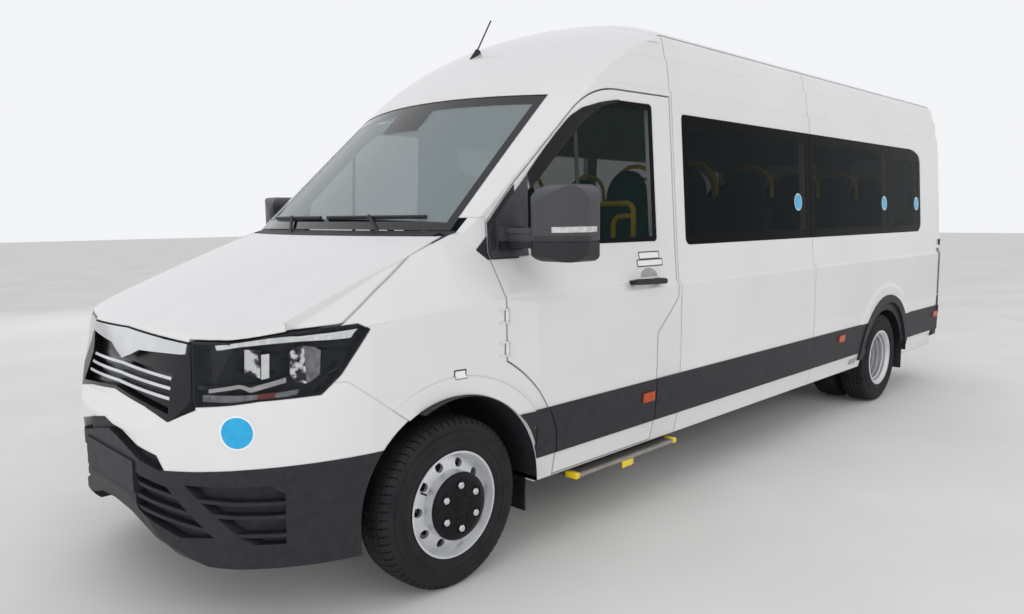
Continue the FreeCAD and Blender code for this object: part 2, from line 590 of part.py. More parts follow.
DOOR_HINGE = (-265.5, 1003)
DOOR_HINGE_Z = (958, 1096)
REAR_HINGE = (REAR_FACE - 14, 880)
REAR_HINGE_Z = (720, 1240, 1716)
door_pins = []
for z in DOOR_HINGE_Z:
    x, y = DOOR_HINGE
    pin, knuckle, room = hinge(x, y, z, (x, x + 40, y - 22, y - 2), [(x - 30, x, y - 22, y - 2)])
    door_pins.append(pin)
    wings = cut_all(wings, both_sides(room))
    door_left = door_left.cut(room).fuse(knuckle)
wings = fused([wings] + [s for pin in door_pins for s in both_sides(pin)])

for z in REAR_HINGE_Z:
    x, y = REAR_HINGE
    leaves = [(x - 6, REAR_FACE - 5, y - 50, y), (x - 6, x + 60, y - 50, y - 28)]
    pin, knuckle, room = hinge(x, y, z, (x, x + 60, y, y + 16), leaves)
    side_wall = side_wall.fuse(pin)
    rear_door = rear_door.fuse(knuckle)

BONNET_HINGE = (-101, 1416)
x, z = BONNET_HINGE
bonnet_leaf = fused([drum(x, z, 10, 762, 786), box(x, x + 70, 762, 786, z - 34, z - 6)])
bonnet_leaf = bonnet_leaf.cut(drum(x, z, PIN_R + FIT, 700, 900))
bonnet_lug = fused([drum(x, z, PIN_R, 762, 812), drum(x, z, 8, 786 + SEAT_GAP, 812),
                    box(x - 14, x + 8, 786 + SEAT_GAP, 812, z - 40, z)])
hinge_room = box(x - 16, x + 100, 756, 812, z - 40, z + 40)
cowl = cut_all(cowl, both_sides(hinge_room))
cowl = fused([cowl] + both_sides(bonnet_lug))
wings = cut_all(wings, both_sides(hinge_room))
bonnet = fused([bonnet] + both_sides(bonnet_leaf))

# Underbody

RAIL_Y = (360, 432)
RAIL_Z = (520, 640)
FLOOR_T = 40
AXLE_Z = TYRE_R
rails = [box(-5600, 820, RAIL_Y[0], RAIL_Y[1], *RAIL_Z), box(-5600, 820, -RAIL_Y[1], -RAIL_Y[0], *RAIL_Z)]
for x in (-5560, -4950, -4000, -3100, -2200, -1300, 740):
    rails.append(box(x, x + 60, -RAIL_Y[0], RAIL_Y[0], RAIL_Z[0] + 20, RAIL_Z[1] - 10))
for x in (-2100, -2800):
    rails.append(box(x, x + 40, -460 + SEAT_GAP, -RAIL_Y[1], 545, 605))
rails += both_sides(box(150, 210, 280 + SEAT_GAP, RAIL_Y[0], 540, 600))
rails += [box(-3080, -3060, -300, -200, 495 + SEAT_GAP, RAIL_Z[0] + 20),
          box(-1290, -1270, -260, -220, 432 + SEAT_GAP, RAIL_Z[0] + 20)]
chassis = fused(rails)
TOWBAR = (-5440, 580, 100, 60, 6.5)
x, z, span_x, span_z, hole_r = TOWBAR
for dx in (-span_x / 2, span_x / 2):
    for dz in (-span_z / 2, span_z / 2):
        chassis = chassis.cut(drum(x + dx, z + dz, hole_r, -600, 600))

liner_r = ARCH_R + 10
floor_z = RAIL_Z[1]
floor = box(REAR_FACE + WALL + 4, -330, -950, 950, floor_z, floor_z + FLOOR_T)
firewall = box(-370, -330, -860, 860, floor_z, 1318)
floor = fused([floor, firewall]).common(INNER)
liners = []
arch_blocks = []
for x, z in ARCH_AT:
    over = liner_r + SEAT_GAP
    block = drum(x, z, over, ARCH_INNER_Y - 10 - SEAT_GAP, 1100)
    arch_blocks += both_sides(block.fuse(box(x - over, x + over, ARCH_INNER_Y - 10 - SEAT_GAP, 1100, 0, z)))
    around = drum(x, z, liner_r, ARCH_INNER_Y - 10, 1100)
    liner = around.fuse(box(x - liner_r, x + liner_r, ARCH_INNER_Y - 10, 1100, SILL_Z + 10, z))
    room = drum(x, z, ARCH_R, ARCH_INNER_Y, 1100).fuse(box(x - ARCH_R, x + ARCH_R, ARCH_INNER_Y, 1100, 0, z))
    floor = cut_all(floor, both_sides(liner))
    liners += both_sides(cut_all(liner.common(INNER), [room]))
engine = fused([box(-140, 620, -280, 280, 380, 980), rod((-140, 0, 500), (-1000, 0, 450), 110)])
fuel_tank = plan_prism([(-1900, -460), (-3000, -460), (-3000, -900), (-1900, -900)], 350, 610)
PIPE_R = 32
SILENCER_R = 95
FRONT_PIPE = [(-142, -200, 430), (-900, -230, 400), (-2600, -250, 400)]
TAIL_PIPE = [(-3300, -250, 400), (-3700, -250, 400), (-3900, -420, 300), (-3920, -880, 290)]
exhaust = fused([bent_bar(FRONT_PIPE, PIPE_R, 200), rod(FRONT_PIPE[-1], TAIL_PIPE[0], SILENCER_R),
                 bent_bar(TAIL_PIPE, PIPE_R, 90)])

KINGPIN_Y = 760
KNUCKLE_TOP = 500
KNUCKLE_LOW = 205
HUB_R = 30
front_y = FRONT_TRACK / 2
arm_plan = [(-26, KINGPIN_Y + 26), (26, KINGPIN_Y + 26), (26, 700), (150, 434), (-150, 434), (-26, 700)]
arms = [plan_prism(arm_plan, KNUCKLE_LOW - 26, KNUCKLE_LOW - SEAT_GAP),
        plan_prism(arm_plan, KNUCKLE_TOP + SEAT_GAP, KNUCKLE_TOP + 24)]
kingpins = [post(0, KINGPIN_Y, 10, KNUCKLE_LOW - 10, KNUCKLE_LOW + 30),
            post(0, KINGPIN_Y, 10, KNUCKLE_TOP - 30, KNUCKLE_TOP + 10)]
tower = box(-150, 150, 360, 440, KNUCKLE_LOW - 26, RAIL_Z[0])
beam = box(-60, 60, -440, 440, KNUCKLE_LOW - 26, KNUCKLE_LOW + 60)
front_subframe = fused([beam] + both_sides(tower) + [s for a in arms + kingpins for s in both_sides(a)])

knuckle = fused([post(0, KINGPIN_Y, 24, KNUCKLE_LOW, KNUCKLE_TOP),
                 drum(0, AXLE_Z, HUB_R, KINGPIN_Y, front_y + 62),
                 rod((0, KINGPIN_Y, 300), (-150, 720, 290), 12)])
knuckle = cut_all(knuckle, [post(0, KINGPIN_Y, 10 + FIT, KNUCKLE_LOW - 1, KNUCKLE_LOW + 31),
                            post(0, KINGPIN_Y, 10 + FIT, KNUCKLE_TOP - 31, KNUCKLE_TOP + 1)])

twin_y = sum(REAR_TWIN_Y) / 2
rear_axle = fused([drum(-WHEELBASE, AXLE_Z, 55, -530, 530), drum(-WHEELBASE, AXLE_Z, HUB_R, -900, 900),
                   drum(-WHEELBASE, AXLE_Z, 165, -90, 90),
                   rod((-WHEELBASE + 210 - SEAT_GAP, 0, AXLE_Z + 10), (-WHEELBASE, 0, AXLE_Z), 60)])
prop_shaft = cut_all(rod((-980, 0, 450), (-WHEELBASE + 190, 0, AXLE_Z + 10), 38), [engine, rear_axle])
spring_path = [(-3780, 478), ((-WHEELBASE, AXLE_Z + 56), (-5200, 478)), (-5200, 508),
               ((-WHEELBASE, AXLE_Z + 96), (-3780, 508))]
spring = side_prism(spring_path, 436, 486)
spring = fused([spring, box(-WHEELBASE - 60, -WHEELBASE + 60, 436, 486, AXLE_Z + 55, AXLE_Z + 64)]
               + [box(x - 26, x + 26, 372, 486, 500, RAIL_Z[0]) for x in (-3806, -5174)])
leaf_springs = Part.makeCompound(both_sides(spring))

# The suspension arms and the rear axle pass through the inner walls of the arches
arm_room = box(-40, 40, -700, 700, KNUCKLE_LOW - 60, KNUCKLE_TOP + 60)
for z in (KNUCKLE_LOW - 60, KNUCKLE_TOP - 34):
    arm_room = arm_room.fuse(box(-170, 170, -560, 560, z, z + 94))
axle_room = drum(-WHEELBASE, AXLE_Z, 75, -560, 560)
liners = [cut_all(liner, [arm_room, axle_room]) for liner in liners]
for i, x, y in ((0, -10, 740), (1, -10, 740), (2, -WHEELBASE, 560), (3, -WHEELBASE, 560)):
    flap = box(x - liner_r, x - liner_r + 8, y, 920, 190, 420)
    liners[i] = fused([liners[i], flap if i % 2 == 0 else mirrored(flap)])
arch_liners = Part.makeCompound(liners)


# Wheels: turned sections as (y from the wheel's middle, radius), outside positive

def turned(section, x, y, side):
    """Wheel part turned about the axle at a wheel's middle."""
    face = Part.Face(wire(lambda p: V(X_AXLE + x, y + side * p[0], AXLE_Z + p[1]), section))
    return face.revolve(V(X_AXLE + x, 0, AXLE_Z), V(0, 1, 0), 360)


w = TYRE_W / 2
TYRE_HALF = [(w - 34, TYRE_R), (w - 16, TYRE_R - 8), (w - 2, RIM_R + 85), (w, RIM_R + 40), (88, RIM_R + 1)]
TYRE_SECTION = [(-y, r) for y, r in reversed(TYRE_HALF)] + TYRE_HALF

tyre_front = turned(TYRE_SECTION, 0, front_y, 1)
BEAD = RIM_R
DISC_OUT = 58
RIM_FRONT = [(-96, BEAD + 5), (-96, BEAD - 12), (-74, BEAD - 26), (30, BEAD - 26),
             (DISC_OUT - 14, BEAD - 40), (DISC_OUT - 10, 140), (DISC_OUT - 24, 120),
             (DISC_OUT - 24, HUB_R + FIT), (DISC_OUT, HUB_R + FIT), (DISC_OUT, 96),
             (DISC_OUT - 8, 116), (DISC_OUT + 8, 138), (DISC_OUT + 2, BEAD - 46),
             (DISC_OUT - 8, BEAD - 22), (74, BEAD - 16), (96, BEAD - 4), (96, BEAD + 5), (86, BEAD),
             (72, BEAD), (50, BEAD - 14), (-60, BEAD - 14), (-86, BEAD)]
rim_front = turned(RIM_FRONT, 0, front_y, 1)
HAND_HOLES = 10
HAND_HOLE_R = 19
HAND_HOLE_AT = 164
for i in range(HAND_HOLES):
    angle = math.radians(360 / HAND_HOLES * i)
    hole_x = HAND_HOLE_AT * math.cos(angle)
    hole_z = AXLE_Z + HAND_HOLE_AT * math.sin(angle)
    rim_front = rim_front.cut(drum(hole_x, hole_z, HAND_HOLE_R, front_y, front_y + 90))

twin_tyres = [turned(TYRE_SECTION, -WHEELBASE, y, 1) for y in REAR_TWIN_Y]
RIM_TWIN = [(-96, BEAD + 5), (-96, BEAD - 12), (-74, BEAD - 26), (74, BEAD - 26), (96, BEAD - 12),
            (96, BEAD + 5), (86, BEAD), (72, BEAD), (50, BEAD - 14), (-50, BEAD - 14), (-72, BEAD),
            (-86, BEAD)]
hub_disc = [(-10, HUB_R + FIT), (10, HUB_R + FIT), (10, 118), (38, 150), (38, BEAD - 20), (-38, BEAD - 20),
            (-38, 150), (-10, 118)]
twin_rims = [turned(RIM_TWIN, -WHEELBASE, y, 1) for y in REAR_TWIN_Y]
twin_rims.append(turned(hub_disc, -WHEELBASE, twin_y, 1))
rear_rims = fused(twin_rims)

# Cab and cabin fittings

dash_path = [(-370 - SEAT_GAP, 1040), (-370 - SEAT_GAP, 1320), (-330, 1380), (-420, 1385), (-700, 1240),
             (-740, 1150), (-640, 1040)]
dashboard = side_prism(dash_path, -860, 860).common(body_form(WALL + 1))
steering_axis = (V(X_AXLE - 800, -430, 1330), V(-0.5, 0, 0.87))
wheel_ring = Part.makeTorus(205, 16, steering_axis[0] + steering_axis[1] * 60, steering_axis[1])
column = Part.makeCylinder(28, 290, steering_axis[0] - steering_axis[1] * 220, steering_axis[1])
column = column.cut(dashboard)
spokes = [Part.makeBox(400, 30, 14, V(-200, -15, 50)), Part.makeBox(30, 200, 14, V(-15, -200, 50))]
tilt = FreeCAD.Placement(steering_axis[0], FreeCAD.Rotation(V(0, 0, 1), steering_axis[1]))
for spoke in spokes:
    spoke.Placement = tilt
steering_wheel = fused([wheel_ring, column] + spokes)

SEAT_PITCH = 690
SEAT_ROWS = 5
FIRST_ROW = -2040
SEAT_W = 410
rail_z = floor_z + FLOOR_T
SEAT_BASE_Z = rail_z + 330
SEAT_TOP = 775
SEAT_ARCH = (64, 612)
SEAT_COLUMNS = (66, 488, -892)
DRIVER_SEAT = (-1260, -690, 480)
SEAT_PROFILE = [(0, 0), (420, 0), ((450, 20), (460, 60)), ((450, 105), (400, 110)), (110, 96),
                (20, SEAT_TOP), (-70, SEAT_TOP), (-90, 600), (-40, 60)]


def seat(x, y, wide):
    """Seat with its back end at x and its right side at y: cushion and arched back in one piece."""
    shoulder, arch_z = SEAT_ARCH
    arch = [(0, -10), (wide, -10), (wide, arch_z - 40), (wide - shoulder, arch_z),
            ((wide / 2, SEAT_TOP), (shoulder, arch_z)), (0, arch_z - 40)]
    whole = side_prism(SEAT_PROFILE, 0, wide).common(front_prism(arch, -200, 600))
    return whole.translated(V(x, y, SEAT_BASE_Z))


seats = []
seat_legs = []
for row in range(SEAT_ROWS):
    x = FIRST_ROW - row * SEAT_PITCH
    for y in SEAT_COLUMNS:
        seats.append(seat(x, y, SEAT_W))
        leg = [box(x + 40, x + 350, y + 60, y + SEAT_W - 60, SEAT_BASE_Z - 40, SEAT_BASE_Z - SEAT_GAP)]
        leg += [box(x + a, x + a + 50, y + b, y + b + 40, rail_z, SEAT_BASE_Z - 20)
                for a in (40, 300) for b in (60, SEAT_W - 100)]
        seat_legs.append(cut_all(fused(leg), arch_blocks))
x, y, wide = DRIVER_SEAT
seats.append(seat(x, y, wide))
seat_legs.append(box(x + 40, x + 380, y + 50, y + wide - 50, rail_z, SEAT_BASE_Z - SEAT_GAP))

# Guard behind the front left seat and a hoop behind each seat back
RAIL_R = 16
HANDLE_R = 13
GUARD_X = -1560
GUARD_Z = (1130, 1570)
GUARD_Y = (250, 550, 690)
low, high = GUARD_Z
right, inner, left = GUARD_Y
guard_frame = [(left, rail_z), (left, high), (right, high), (right, rail_z)]
guard_loop = [(left, high - 70), (inner, high - 70), (inner, low)]
guard = [bent_bar([(GUARD_X, y, z) for y, z in guard_frame], RAIL_R, 50),
         bent_bar([(GUARD_X, y, z) for y, z in guard_loop], RAIL_R - 2, 60),
         rod((GUARD_X, right, low), (GUARD_X, left, low), RAIL_R - 2)]
handrails = [fused(guard)]
HOOP = (44, 600, 800, 150)
inset, hoop_foot, hoop_top, bend = HOOP
for row in range(SEAT_ROWS):
    x = FIRST_ROW - row * SEAT_PITCH - 90 - HANDLE_R - 0.5
    for y in SEAT_COLUMNS:
        a, b = y + inset, y + SEAT_W - inset
        foot, top = SEAT_BASE_Z + hoop_foot, SEAT_BASE_Z + hoop_top
        handrails.append(bent_bar([(x, a, foot), (x, a, top), (x, b, top), (x, b, foot)], HANDLE_R, bend))

ANTENNA = (((-1000, 0, 2350), (-1050, 0, 2412), 17), ((-1035, 0, 2400), (-1150, 0, 2592), 4))
antenna = fused([rod(*part) for part in ANTENNA]).cut(OUTER)

# Wipers lie along the foot of the windscreen, their arms on the cowl
(top_r, top_z), (foot_r, foot_z) = CREST[2][1], CREST[3]
slope = unit(foot_z - top_z, top_r - foot_r)
BLADE_R = 8
WIPERS = ((20, 640, 330, 480), (-660, -40, -350, -200))
blade_z = foot_z + 62
blade_r = foot_r - (blade_z - foot_z) * (foot_r - top_r) / (top_z - foot_z)
stand = BLADE_R + SEAT_GAP - GLASS_INSET
blade_at = (blade_r - slope[0] * stand, blade_z - slope[1] * stand)
wiper_ring = Part.makeTorus(blade_at[0], BLADE_R, V(X_AXLE + NOSE_AXIS, 0, blade_at[1]), V(0, 0, 1))
wiper_shapes = []
for y0, y1, blade_y, pivot_y in WIPERS:
    blade_x = NOSE_AXIS + math.sqrt(blade_at[0] ** 2 - blade_y ** 2)
    pivot_x = NOSE_AXIS + math.sqrt((foot_r + 24) ** 2 - pivot_y ** 2)
    arm = rod((blade_x + 6, blade_y, blade_at[1] + 6), (pivot_x, pivot_y, foot_z - 14), 8).cut(OUTER)
    wiper_shapes.append(fused([wiper_ring.common(box(-400, 200, y0, y1, 1400, 1600)), arm]))
wipers = Part.makeCompound(wiper_shapes)

# Door mirror: head with a swept front and a groove above its lower part, on a double arm
MIRROR_PLAN = [(-500, 1066), (-362, 1060), ((-338, 1072), (-338, 1100)), ((-364, 1190), (-420, 1262)),
               ((-440, 1280), (-470, 1285)), (-510, 1285), ((-525, 1280), (-530, 1262)), (-530, 1096),
               ((-522, 1074), (-500, 1066))]
MIRROR_FRONT = [(1110, 1318), (1236, 1318), ((1270, 1332), (1285, 1366)), (1285, 1560),
                ((1266, 1612), (1215, 1632)), (1132, 1632), ((1082, 1612), (1062, 1556)), (1062, 1366),
                ((1076, 1332), (1110, 1318))]
MIRROR_SIDE = [(-530, 1318), (-400, 1318), ((-352, 1334), (-334, 1380)), (-334, 1540),
               ((-362, 1606), (-440, 1632)), (-530, 1632)]
MIRROR_GROOVE = (1398, 1405, 8)


def mirror_head(inset):
    head = plan_prism(MIRROR_PLAN, 1300, 1650, inset).common(front_prism(MIRROR_FRONT, -560, -300, inset))
    return head.common(side_prism(MIRROR_SIDE, 1040, 1300, inset))


z0, z1, depth = MIRROR_GROOVE
groove = box(-560, -300, 1040, 1300, z0, z1).cut(mirror_head(depth))
mirror_arm = fused([box(-405, -345, 900, 1100, 1372, 1396), box(-405, -345, 900, 1100, 1434, 1456)])
mirror_foot = plan_prism([(-430, 880), (-320, 880), (-320, 925), (-430, 940)], 1362, 1464)
mirror = fused([mirror_head(0).cut(groove), mirror_arm, mirror_foot])
mirror = cut_all(mirror, [OUTER, mirror_patch])

side_step = fused([box(-1530, -700, 830, 1000, 292, 314), box(-1480, -1440, 420, 840, 300, 330),
                   box(-800, -760, 420, 840, 300, 330), box(-1480, -1440, 400, 432, 300, RAIL_Z[0]),
                   box(-800, -760, 400, 432, 300, RAIL_Z[0])])

# Sub-parts by name; those on one side are made once and mirrored
rear_tyres = Part.makeCompound(twin_tyres)
NODES = {
    "windscreen": windscreen, "side_windows": Part.makeCompound(panes), "bonnet": bonnet,
    "headlamps": Part.makeCompound(both_sides(lens)), "lamp_trays": Part.makeCompound(both_sides(tray)),
    "grille": grille, "grille_bar": grille_bar, "front_bumper": bumper_white, "bumper_skirt": bumper_black,
    "front_wings": wings, "cowl_panel": cowl, "cab_frame": cab, "roof": roof,
    "side_wall_left": side_wall, "side_wall_right": mirrored(side_wall),
    "door_left": door_left, "door_right": mirrored(door_left),
    "door_glass_left": door_glass, "door_glass_right": mirrored(door_glass),
    "rear_door_left": rear_door, "rear_door_right": mirrored(rear_door),
    "rear_glass_left": rear_glass, "rear_glass_right": mirrored(rear_glass),
    "side_mouldings": mouldings, "door_trim_left": door_trim, "door_trim_right": mirrored(door_trim),
    "tail_lamps": Part.makeCompound(both_sides(tail_lamp)), "rear_bumper": rear_bumper,
    "chassis": chassis, "floor": floor, "arch_liners": arch_liners,
    "engine": engine, "prop_shaft": prop_shaft, "fuel_tank": fuel_tank, "exhaust": exhaust,
    "front_subframe": front_subframe, "rear_axle": rear_axle, "leaf_springs": leaf_springs,
    "knuckle_left": knuckle, "knuckle_right": mirrored(knuckle),
    "front_tyre_left": tyre_front, "front_tyre_right": mirrored(tyre_front),
    "front_rim_left": rim_front, "front_rim_right": mirrored(rim_front),
    "rear_tyres_left": rear_tyres, "rear_tyres_right": mirrored(rear_tyres),
    "rear_rims_left": rear_rims, "rear_rims_right": mirrored(rear_rims),
    "dashboard": dashboard, "steering_wheel": steering_wheel, "seats": Part.makeCompound(seats),
    "seat_frames": Part.makeCompound(seat_legs), "handrails": Part.makeCompound(handrails),
    "antenna": antenna, "wipers": wipers, "mirror_left": mirror, "mirror_right": mirrored(mirror),
    "side_step": side_step,
}

for name, shape in NODES.items():
    solids = [solid for solid in shape.Solids if solid.Volume > SLIVER]
    whole = solids[0] if len(solids) == 1 else Part.makeCompound(solids)
    whole.exportStep("parts/" + name + ".step")
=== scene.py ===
import bpy
import bmesh
import json
import math
from mathutils import Matrix, Vector
from mathutils.bvhtree import BVHTree


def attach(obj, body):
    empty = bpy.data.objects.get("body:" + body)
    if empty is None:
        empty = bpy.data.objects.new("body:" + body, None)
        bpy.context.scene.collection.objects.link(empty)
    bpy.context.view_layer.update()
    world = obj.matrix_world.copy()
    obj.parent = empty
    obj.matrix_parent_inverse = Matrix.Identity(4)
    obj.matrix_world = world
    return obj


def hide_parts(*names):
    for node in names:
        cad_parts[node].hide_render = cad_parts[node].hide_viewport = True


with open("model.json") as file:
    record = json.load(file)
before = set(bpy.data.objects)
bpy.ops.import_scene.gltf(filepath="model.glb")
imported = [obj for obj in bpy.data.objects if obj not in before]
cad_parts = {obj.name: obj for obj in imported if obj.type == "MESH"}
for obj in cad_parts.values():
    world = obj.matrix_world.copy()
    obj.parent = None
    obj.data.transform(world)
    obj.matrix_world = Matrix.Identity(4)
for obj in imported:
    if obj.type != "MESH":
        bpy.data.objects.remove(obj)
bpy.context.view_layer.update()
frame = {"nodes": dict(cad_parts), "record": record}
NODES = frame["nodes"]
SLOT_OF = {row["node"]: row["material_slot"] for row in frame["record"]["subparts"]}
JOINT_AT = {row["name"]: row["pos_m"] for row in frame["record"]["behaviour"]["joints"]}

# Driving places in metres, from the frame: front axle, middles of the wheels and tyre radius
X_AXLE, FRONT_Y, TYRE_OUT = JOINT_AT["wheel_front_left_spin"]
REAR_X, REAR_Y, _ = JOINT_AT["wheel_rear_left_spin"]
TWIN_HALF = 0.120
HANDS = ((1, "left"), (-1, "right"))

# Millimetres from the middle, outside the body: where patches for the sides start
SIDE_Y = 1100
UP = (0, 0, 1)


def at(x, y, z):
    """Place in the row frame, in metres, of a point given in millimetres from the front axle."""
    return Vector((X_AXLE + x / 1000, y / 1000, z / 1000))


# Materials: colour of the printed borders, and radius of the softened edges in metres

BORDER_BLACK = (0.006, 0.006, 0.007)
EDGE_SOFT = 0.010


class Maker:
    """Node material around one Principled shader, its colour and roughness varied by noise."""

    def __init__(self, name, rough=0.5, metallic=0.0, coat=0.0, gloss=0.5, alpha=1.0):
        self.name = name
        self.material = bpy.data.materials.new(name)
        self.material.use_nodes = True
        self.nodes = self.material.node_tree.nodes
        self.links = self.material.node_tree.links
        self.shader = self.nodes["Principled BSDF"]
        self.shader.inputs["Metallic"].default_value = metallic
        self.shader.inputs["Roughness"].default_value = rough
        self.shader.inputs["Coat Weight"].default_value = coat
        self.shader.inputs["Coat Roughness"].default_value = 0.04
        self.shader.inputs["Alpha"].default_value = alpha
        self.shader.inputs["Specular IOR Level"].default_value = gloss
        self.place = self.nodes.new("ShaderNodeTexCoord").outputs["Object"]

    def noise(self, scale, detail=4.0):
        noise = self.nodes.new("ShaderNodeTexNoise")
        noise.inputs["Scale"].default_value = scale
        noise.inputs["Detail"].default_value = detail
        self.links.new(self.place, noise.inputs["Vector"])
        return noise.outputs["Fac"]

    def ramp(self, source, dark, light, low=0.35, high=0.65):
        ramp = self.nodes.new("ShaderNodeValToRGB")
        ramp.color_ramp.elements[0].position = low
        ramp.color_ramp.elements[0].color = (*dark, 1)
        ramp.color_ramp.elements[1].position = high
        ramp.color_ramp.elements[1].color = (*light, 1)
        self.links.new(source, ramp.inputs["Fac"])
        return ramp.outputs["Color"]

    def colour(self, dark, light, scale, low=0.35, high=0.65):
        shade = self.ramp(self.noise(scale), dark, light, low, high)
        self.links.new(shade, self.shader.inputs["Base Color"])
        return self

    def two_tone(self, z, low, high):
        """One colour below a height and another above it, both a little uneven."""
        above = self.math("MULTIPLY", self.math("GREATER_THAN", self.axes()[2], z), 0.9)
        uneven = self.math("MULTIPLY", self.noise(30), 0.1)
        shade = self.ramp(self.math("ADD", above, uneven), low, high, 0.0, 1.0)
        self.links.new(shade, self.shader.inputs["Base Color"])
        return self

    def roughness(self, low, high, scale):
        spread = self.nodes.new("ShaderNodeMapRange")
        spread.inputs["To Min"].default_value = low
        spread.inputs["To Max"].default_value = high
        self.links.new(self.noise(scale), spread.inputs["Value"])
        self.links.new(spread.outputs["Result"], self.shader.inputs["Roughness"])
        return self

    def math(self, kind, *values):
        """Math node whose inputs are sockets or numbers."""
        node = self.nodes.new("ShaderNodeMath")
        node.operation = kind
        for i, value in enumerate(values):
            if isinstance(value, (int, float)):
                node.inputs[i].default_value = value
            else:
                self.links.new(value, node.inputs[i])
        return node.outputs[0]

    def axes(self):
        """Coordinates x, y and z of the point in the row frame."""
        split = self.nodes.new("ShaderNodeSeparateXYZ")
        self.links.new(self.place, split.inputs[0])
        return [split.outputs[i] for i in range(3)]

    def inside(self, first, low_a, high_a, second, low_b, high_b, soft=0.0015):
        """One within a box of two coordinates and nought outside it."""
        edges = [self.math("SUBTRACT", first, low_a), self.math("SUBTRACT", high_a, first),
                 self.math("SUBTRACT", second, low_b), self.math("SUBTRACT", high_b, second)]
        least = edges[0]
        for edge in edges[1:]:
            least = self.math("MINIMUM", least, edge)
        node = self.nodes.new("ShaderNodeMath")
        node.operation = "MULTIPLY"
        node.use_clamp = True
        node.inputs[1].default_value = 1 / soft
        self.links.new(least, node.inputs[0])
        return node.outputs[0]

    def see_through(self, clear, alpha, tint_and_painted_sky):
        """Glass where clear is one, and black printed border where it is nought. Where clear it takes the
        given colour: the glass's tint, and on the windscreen a pale colour that is painted sky reflection.
        """
        fade = self.math("SUBTRACT", 1.0, self.math("MULTIPLY", clear, 1.0 - alpha))
        self.links.new(fade, self.shader.inputs["Alpha"])
        colour = self.ramp(clear, BORDER_BLACK, tint_and_painted_sky, 0.0, 1.0)
        self.links.new(colour, self.shader.inputs["Base Color"])
        return self

    def bevel(self, radius):
        """Normal of the surface with its edges rounded."""
        node = self.nodes.new("ShaderNodeBevel")
        node.samples = 6
        node.inputs["Radius"].default_value = radius
        return node.outputs["Normal"]

    def crease(self, z, slope):
        """Paint below a height tilted a little upwards, as below a pressed crease."""
        below = self.math("MAXIMUM", self.math("SUBTRACT", z, self.axes()[2]), 0.0)
        bump = self.nodes.new("ShaderNodeBump")
        bump.inputs["Strength"].default_value = 1.0
        bump.inputs["Distance"].default_value = 1.0
        self.links.new(self.math("MULTIPLY", below, slope), bump.inputs["Height"])
        self.links.new(self.bevel(EDGE_SOFT), bump.inputs["Normal"])
        self.links.new(bump.outputs["Normal"], self.shader.inputs["Normal"])
        return self

    def soft_edges(self):
        """Edges shaded as if rounded."""
        self.links.new(self.bevel(EDGE_SOFT), self.shader.inputs["Normal"])
        return self

    def bump(self, scale, distance, strength):
        bump = self.nodes.new("ShaderNodeBump")
        bump.inputs["Strength"].default_value = strength
        bump.inputs["Distance"].default_value = distance
        self.links.new(self.noise(scale, 2.0), bump.inputs["Height"])
        self.links.new(bump.outputs["Normal"], self.shader.inputs["Normal"])
        return self


# Body paint, and the pressed crease: height and how far the paint below it tilts
WHITE = ((0.74, 0.735, 0.74), (0.78, 0.775, 0.78), 1.3)
CREASE_Z = 0.768
CREASE_SLOPE = 0.24


def paint(name, dark, light, scale, rough, bump=None, **kind):
    """Material between two colours, with roughness (low, high, scale) and bump (scale, height, strength)."""
    maker = Maker(name, **kind).colour(dark, light, scale).roughness(*rough)
    if bump:
        maker.bump(*bump)
    return maker


def body_paint(name):
    return paint(name, *WHITE, (0.28, 0.36, 5), coat=0.6)


def mirror_shell():
    """Black lower part and grey cap of the mirror head, parted by its groove."""
    maker = Maker("mirror_shell").two_tone(1.4015, (0.008, 0.009, 0.011), (0.055, 0.055, 0.064))
    return maker.roughness(0.36, 0.48, 20).bump(900, 0.0003, 0.3)


def chrome_mixed():
    """Reflector with painted reflections: its colour goes in patches from near black to bright, standing in
    for dark and bright things it mirrors.
    """
    maker = Maker("chrome_mixed", metallic=0.9)
    return maker.colour((0.03, 0.03, 0.035), (0.86, 0.87, 0.89), 26, 0.44, 0.54).roughness(0.06, 0.14, 14)


# Sight openings of the side glass: rear end and front end from the front axle, and top, in metres
SIDE_SIGHTS = ((-3.100, -1.680, 1.975), (-4.557, -3.215, 1.975), (-5.255, -4.672, 1.930))
SIDE_SIGHT_FOOT = 1.400


def side_glass():
    """Tinted side glass with a black border round each sight opening."""
    maker = Maker("side_glass", gloss=0.02)
    x, _, z = maker.axes()
    clear = None
    for rear, front, top in SIDE_SIGHTS:
        pane = maker.inside(x, X_AXLE + rear, X_AXLE + front, z, SIDE_SIGHT_FOOT, top)
        clear = pane if clear is None else maker.math("MAXIMUM", clear, pane)
    return maker.see_through(clear, 0.58, (0.006, 0.010, 0.011)).roughness(0.02, 0.05, 6)


# Windscreen border: half width at the ground and its loss per metre of height, sagging foot and top
SCREEN_HALF = 0.868
SCREEN_TAPER = 0.080
SCREEN_BOW = 0.029
SCREEN_FOOT, SCREEN_TOP = 1.496, 2.040
SENSOR_HALF, SENSOR_FOOT = 0.150, 1.930


def screen_glass():
    """Windscreen with a black border, a sensor window at the top, and a pale grey-blue colour that is
    painted sky reflection.
    """
    maker = Maker("screen_glass")
    _, y, z = maker.axes()
    wide = maker.math("ADD", maker.math("ABSOLUTE", y), maker.math("MULTIPLY", z, SCREEN_TAPER))
    bow = maker.math("MULTIPLY", maker.math("MULTIPLY", y, y), SCREEN_BOW)
    clear = maker.inside(wide, -1.0, SCREEN_HALF, maker.math("ADD", z, bow), SCREEN_FOOT, SCREEN_TOP, 0.004)
    sensor = maker.inside(maker.math("ABSOLUTE", y), -1.0, SENSOR_HALF, z, SENSOR_FOOT, 2.2, 0.004)
    clear = maker.math("MULTIPLY", clear, maker.math("SUBTRACT", 1.0, sensor))
    # Pale grey-blue colour of the clear part: painted sky reflection over the see-through glass
    return maker.see_through(clear, 0.60, (0.27, 0.33, 0.345)).roughness(0.02, 0.05, 6)


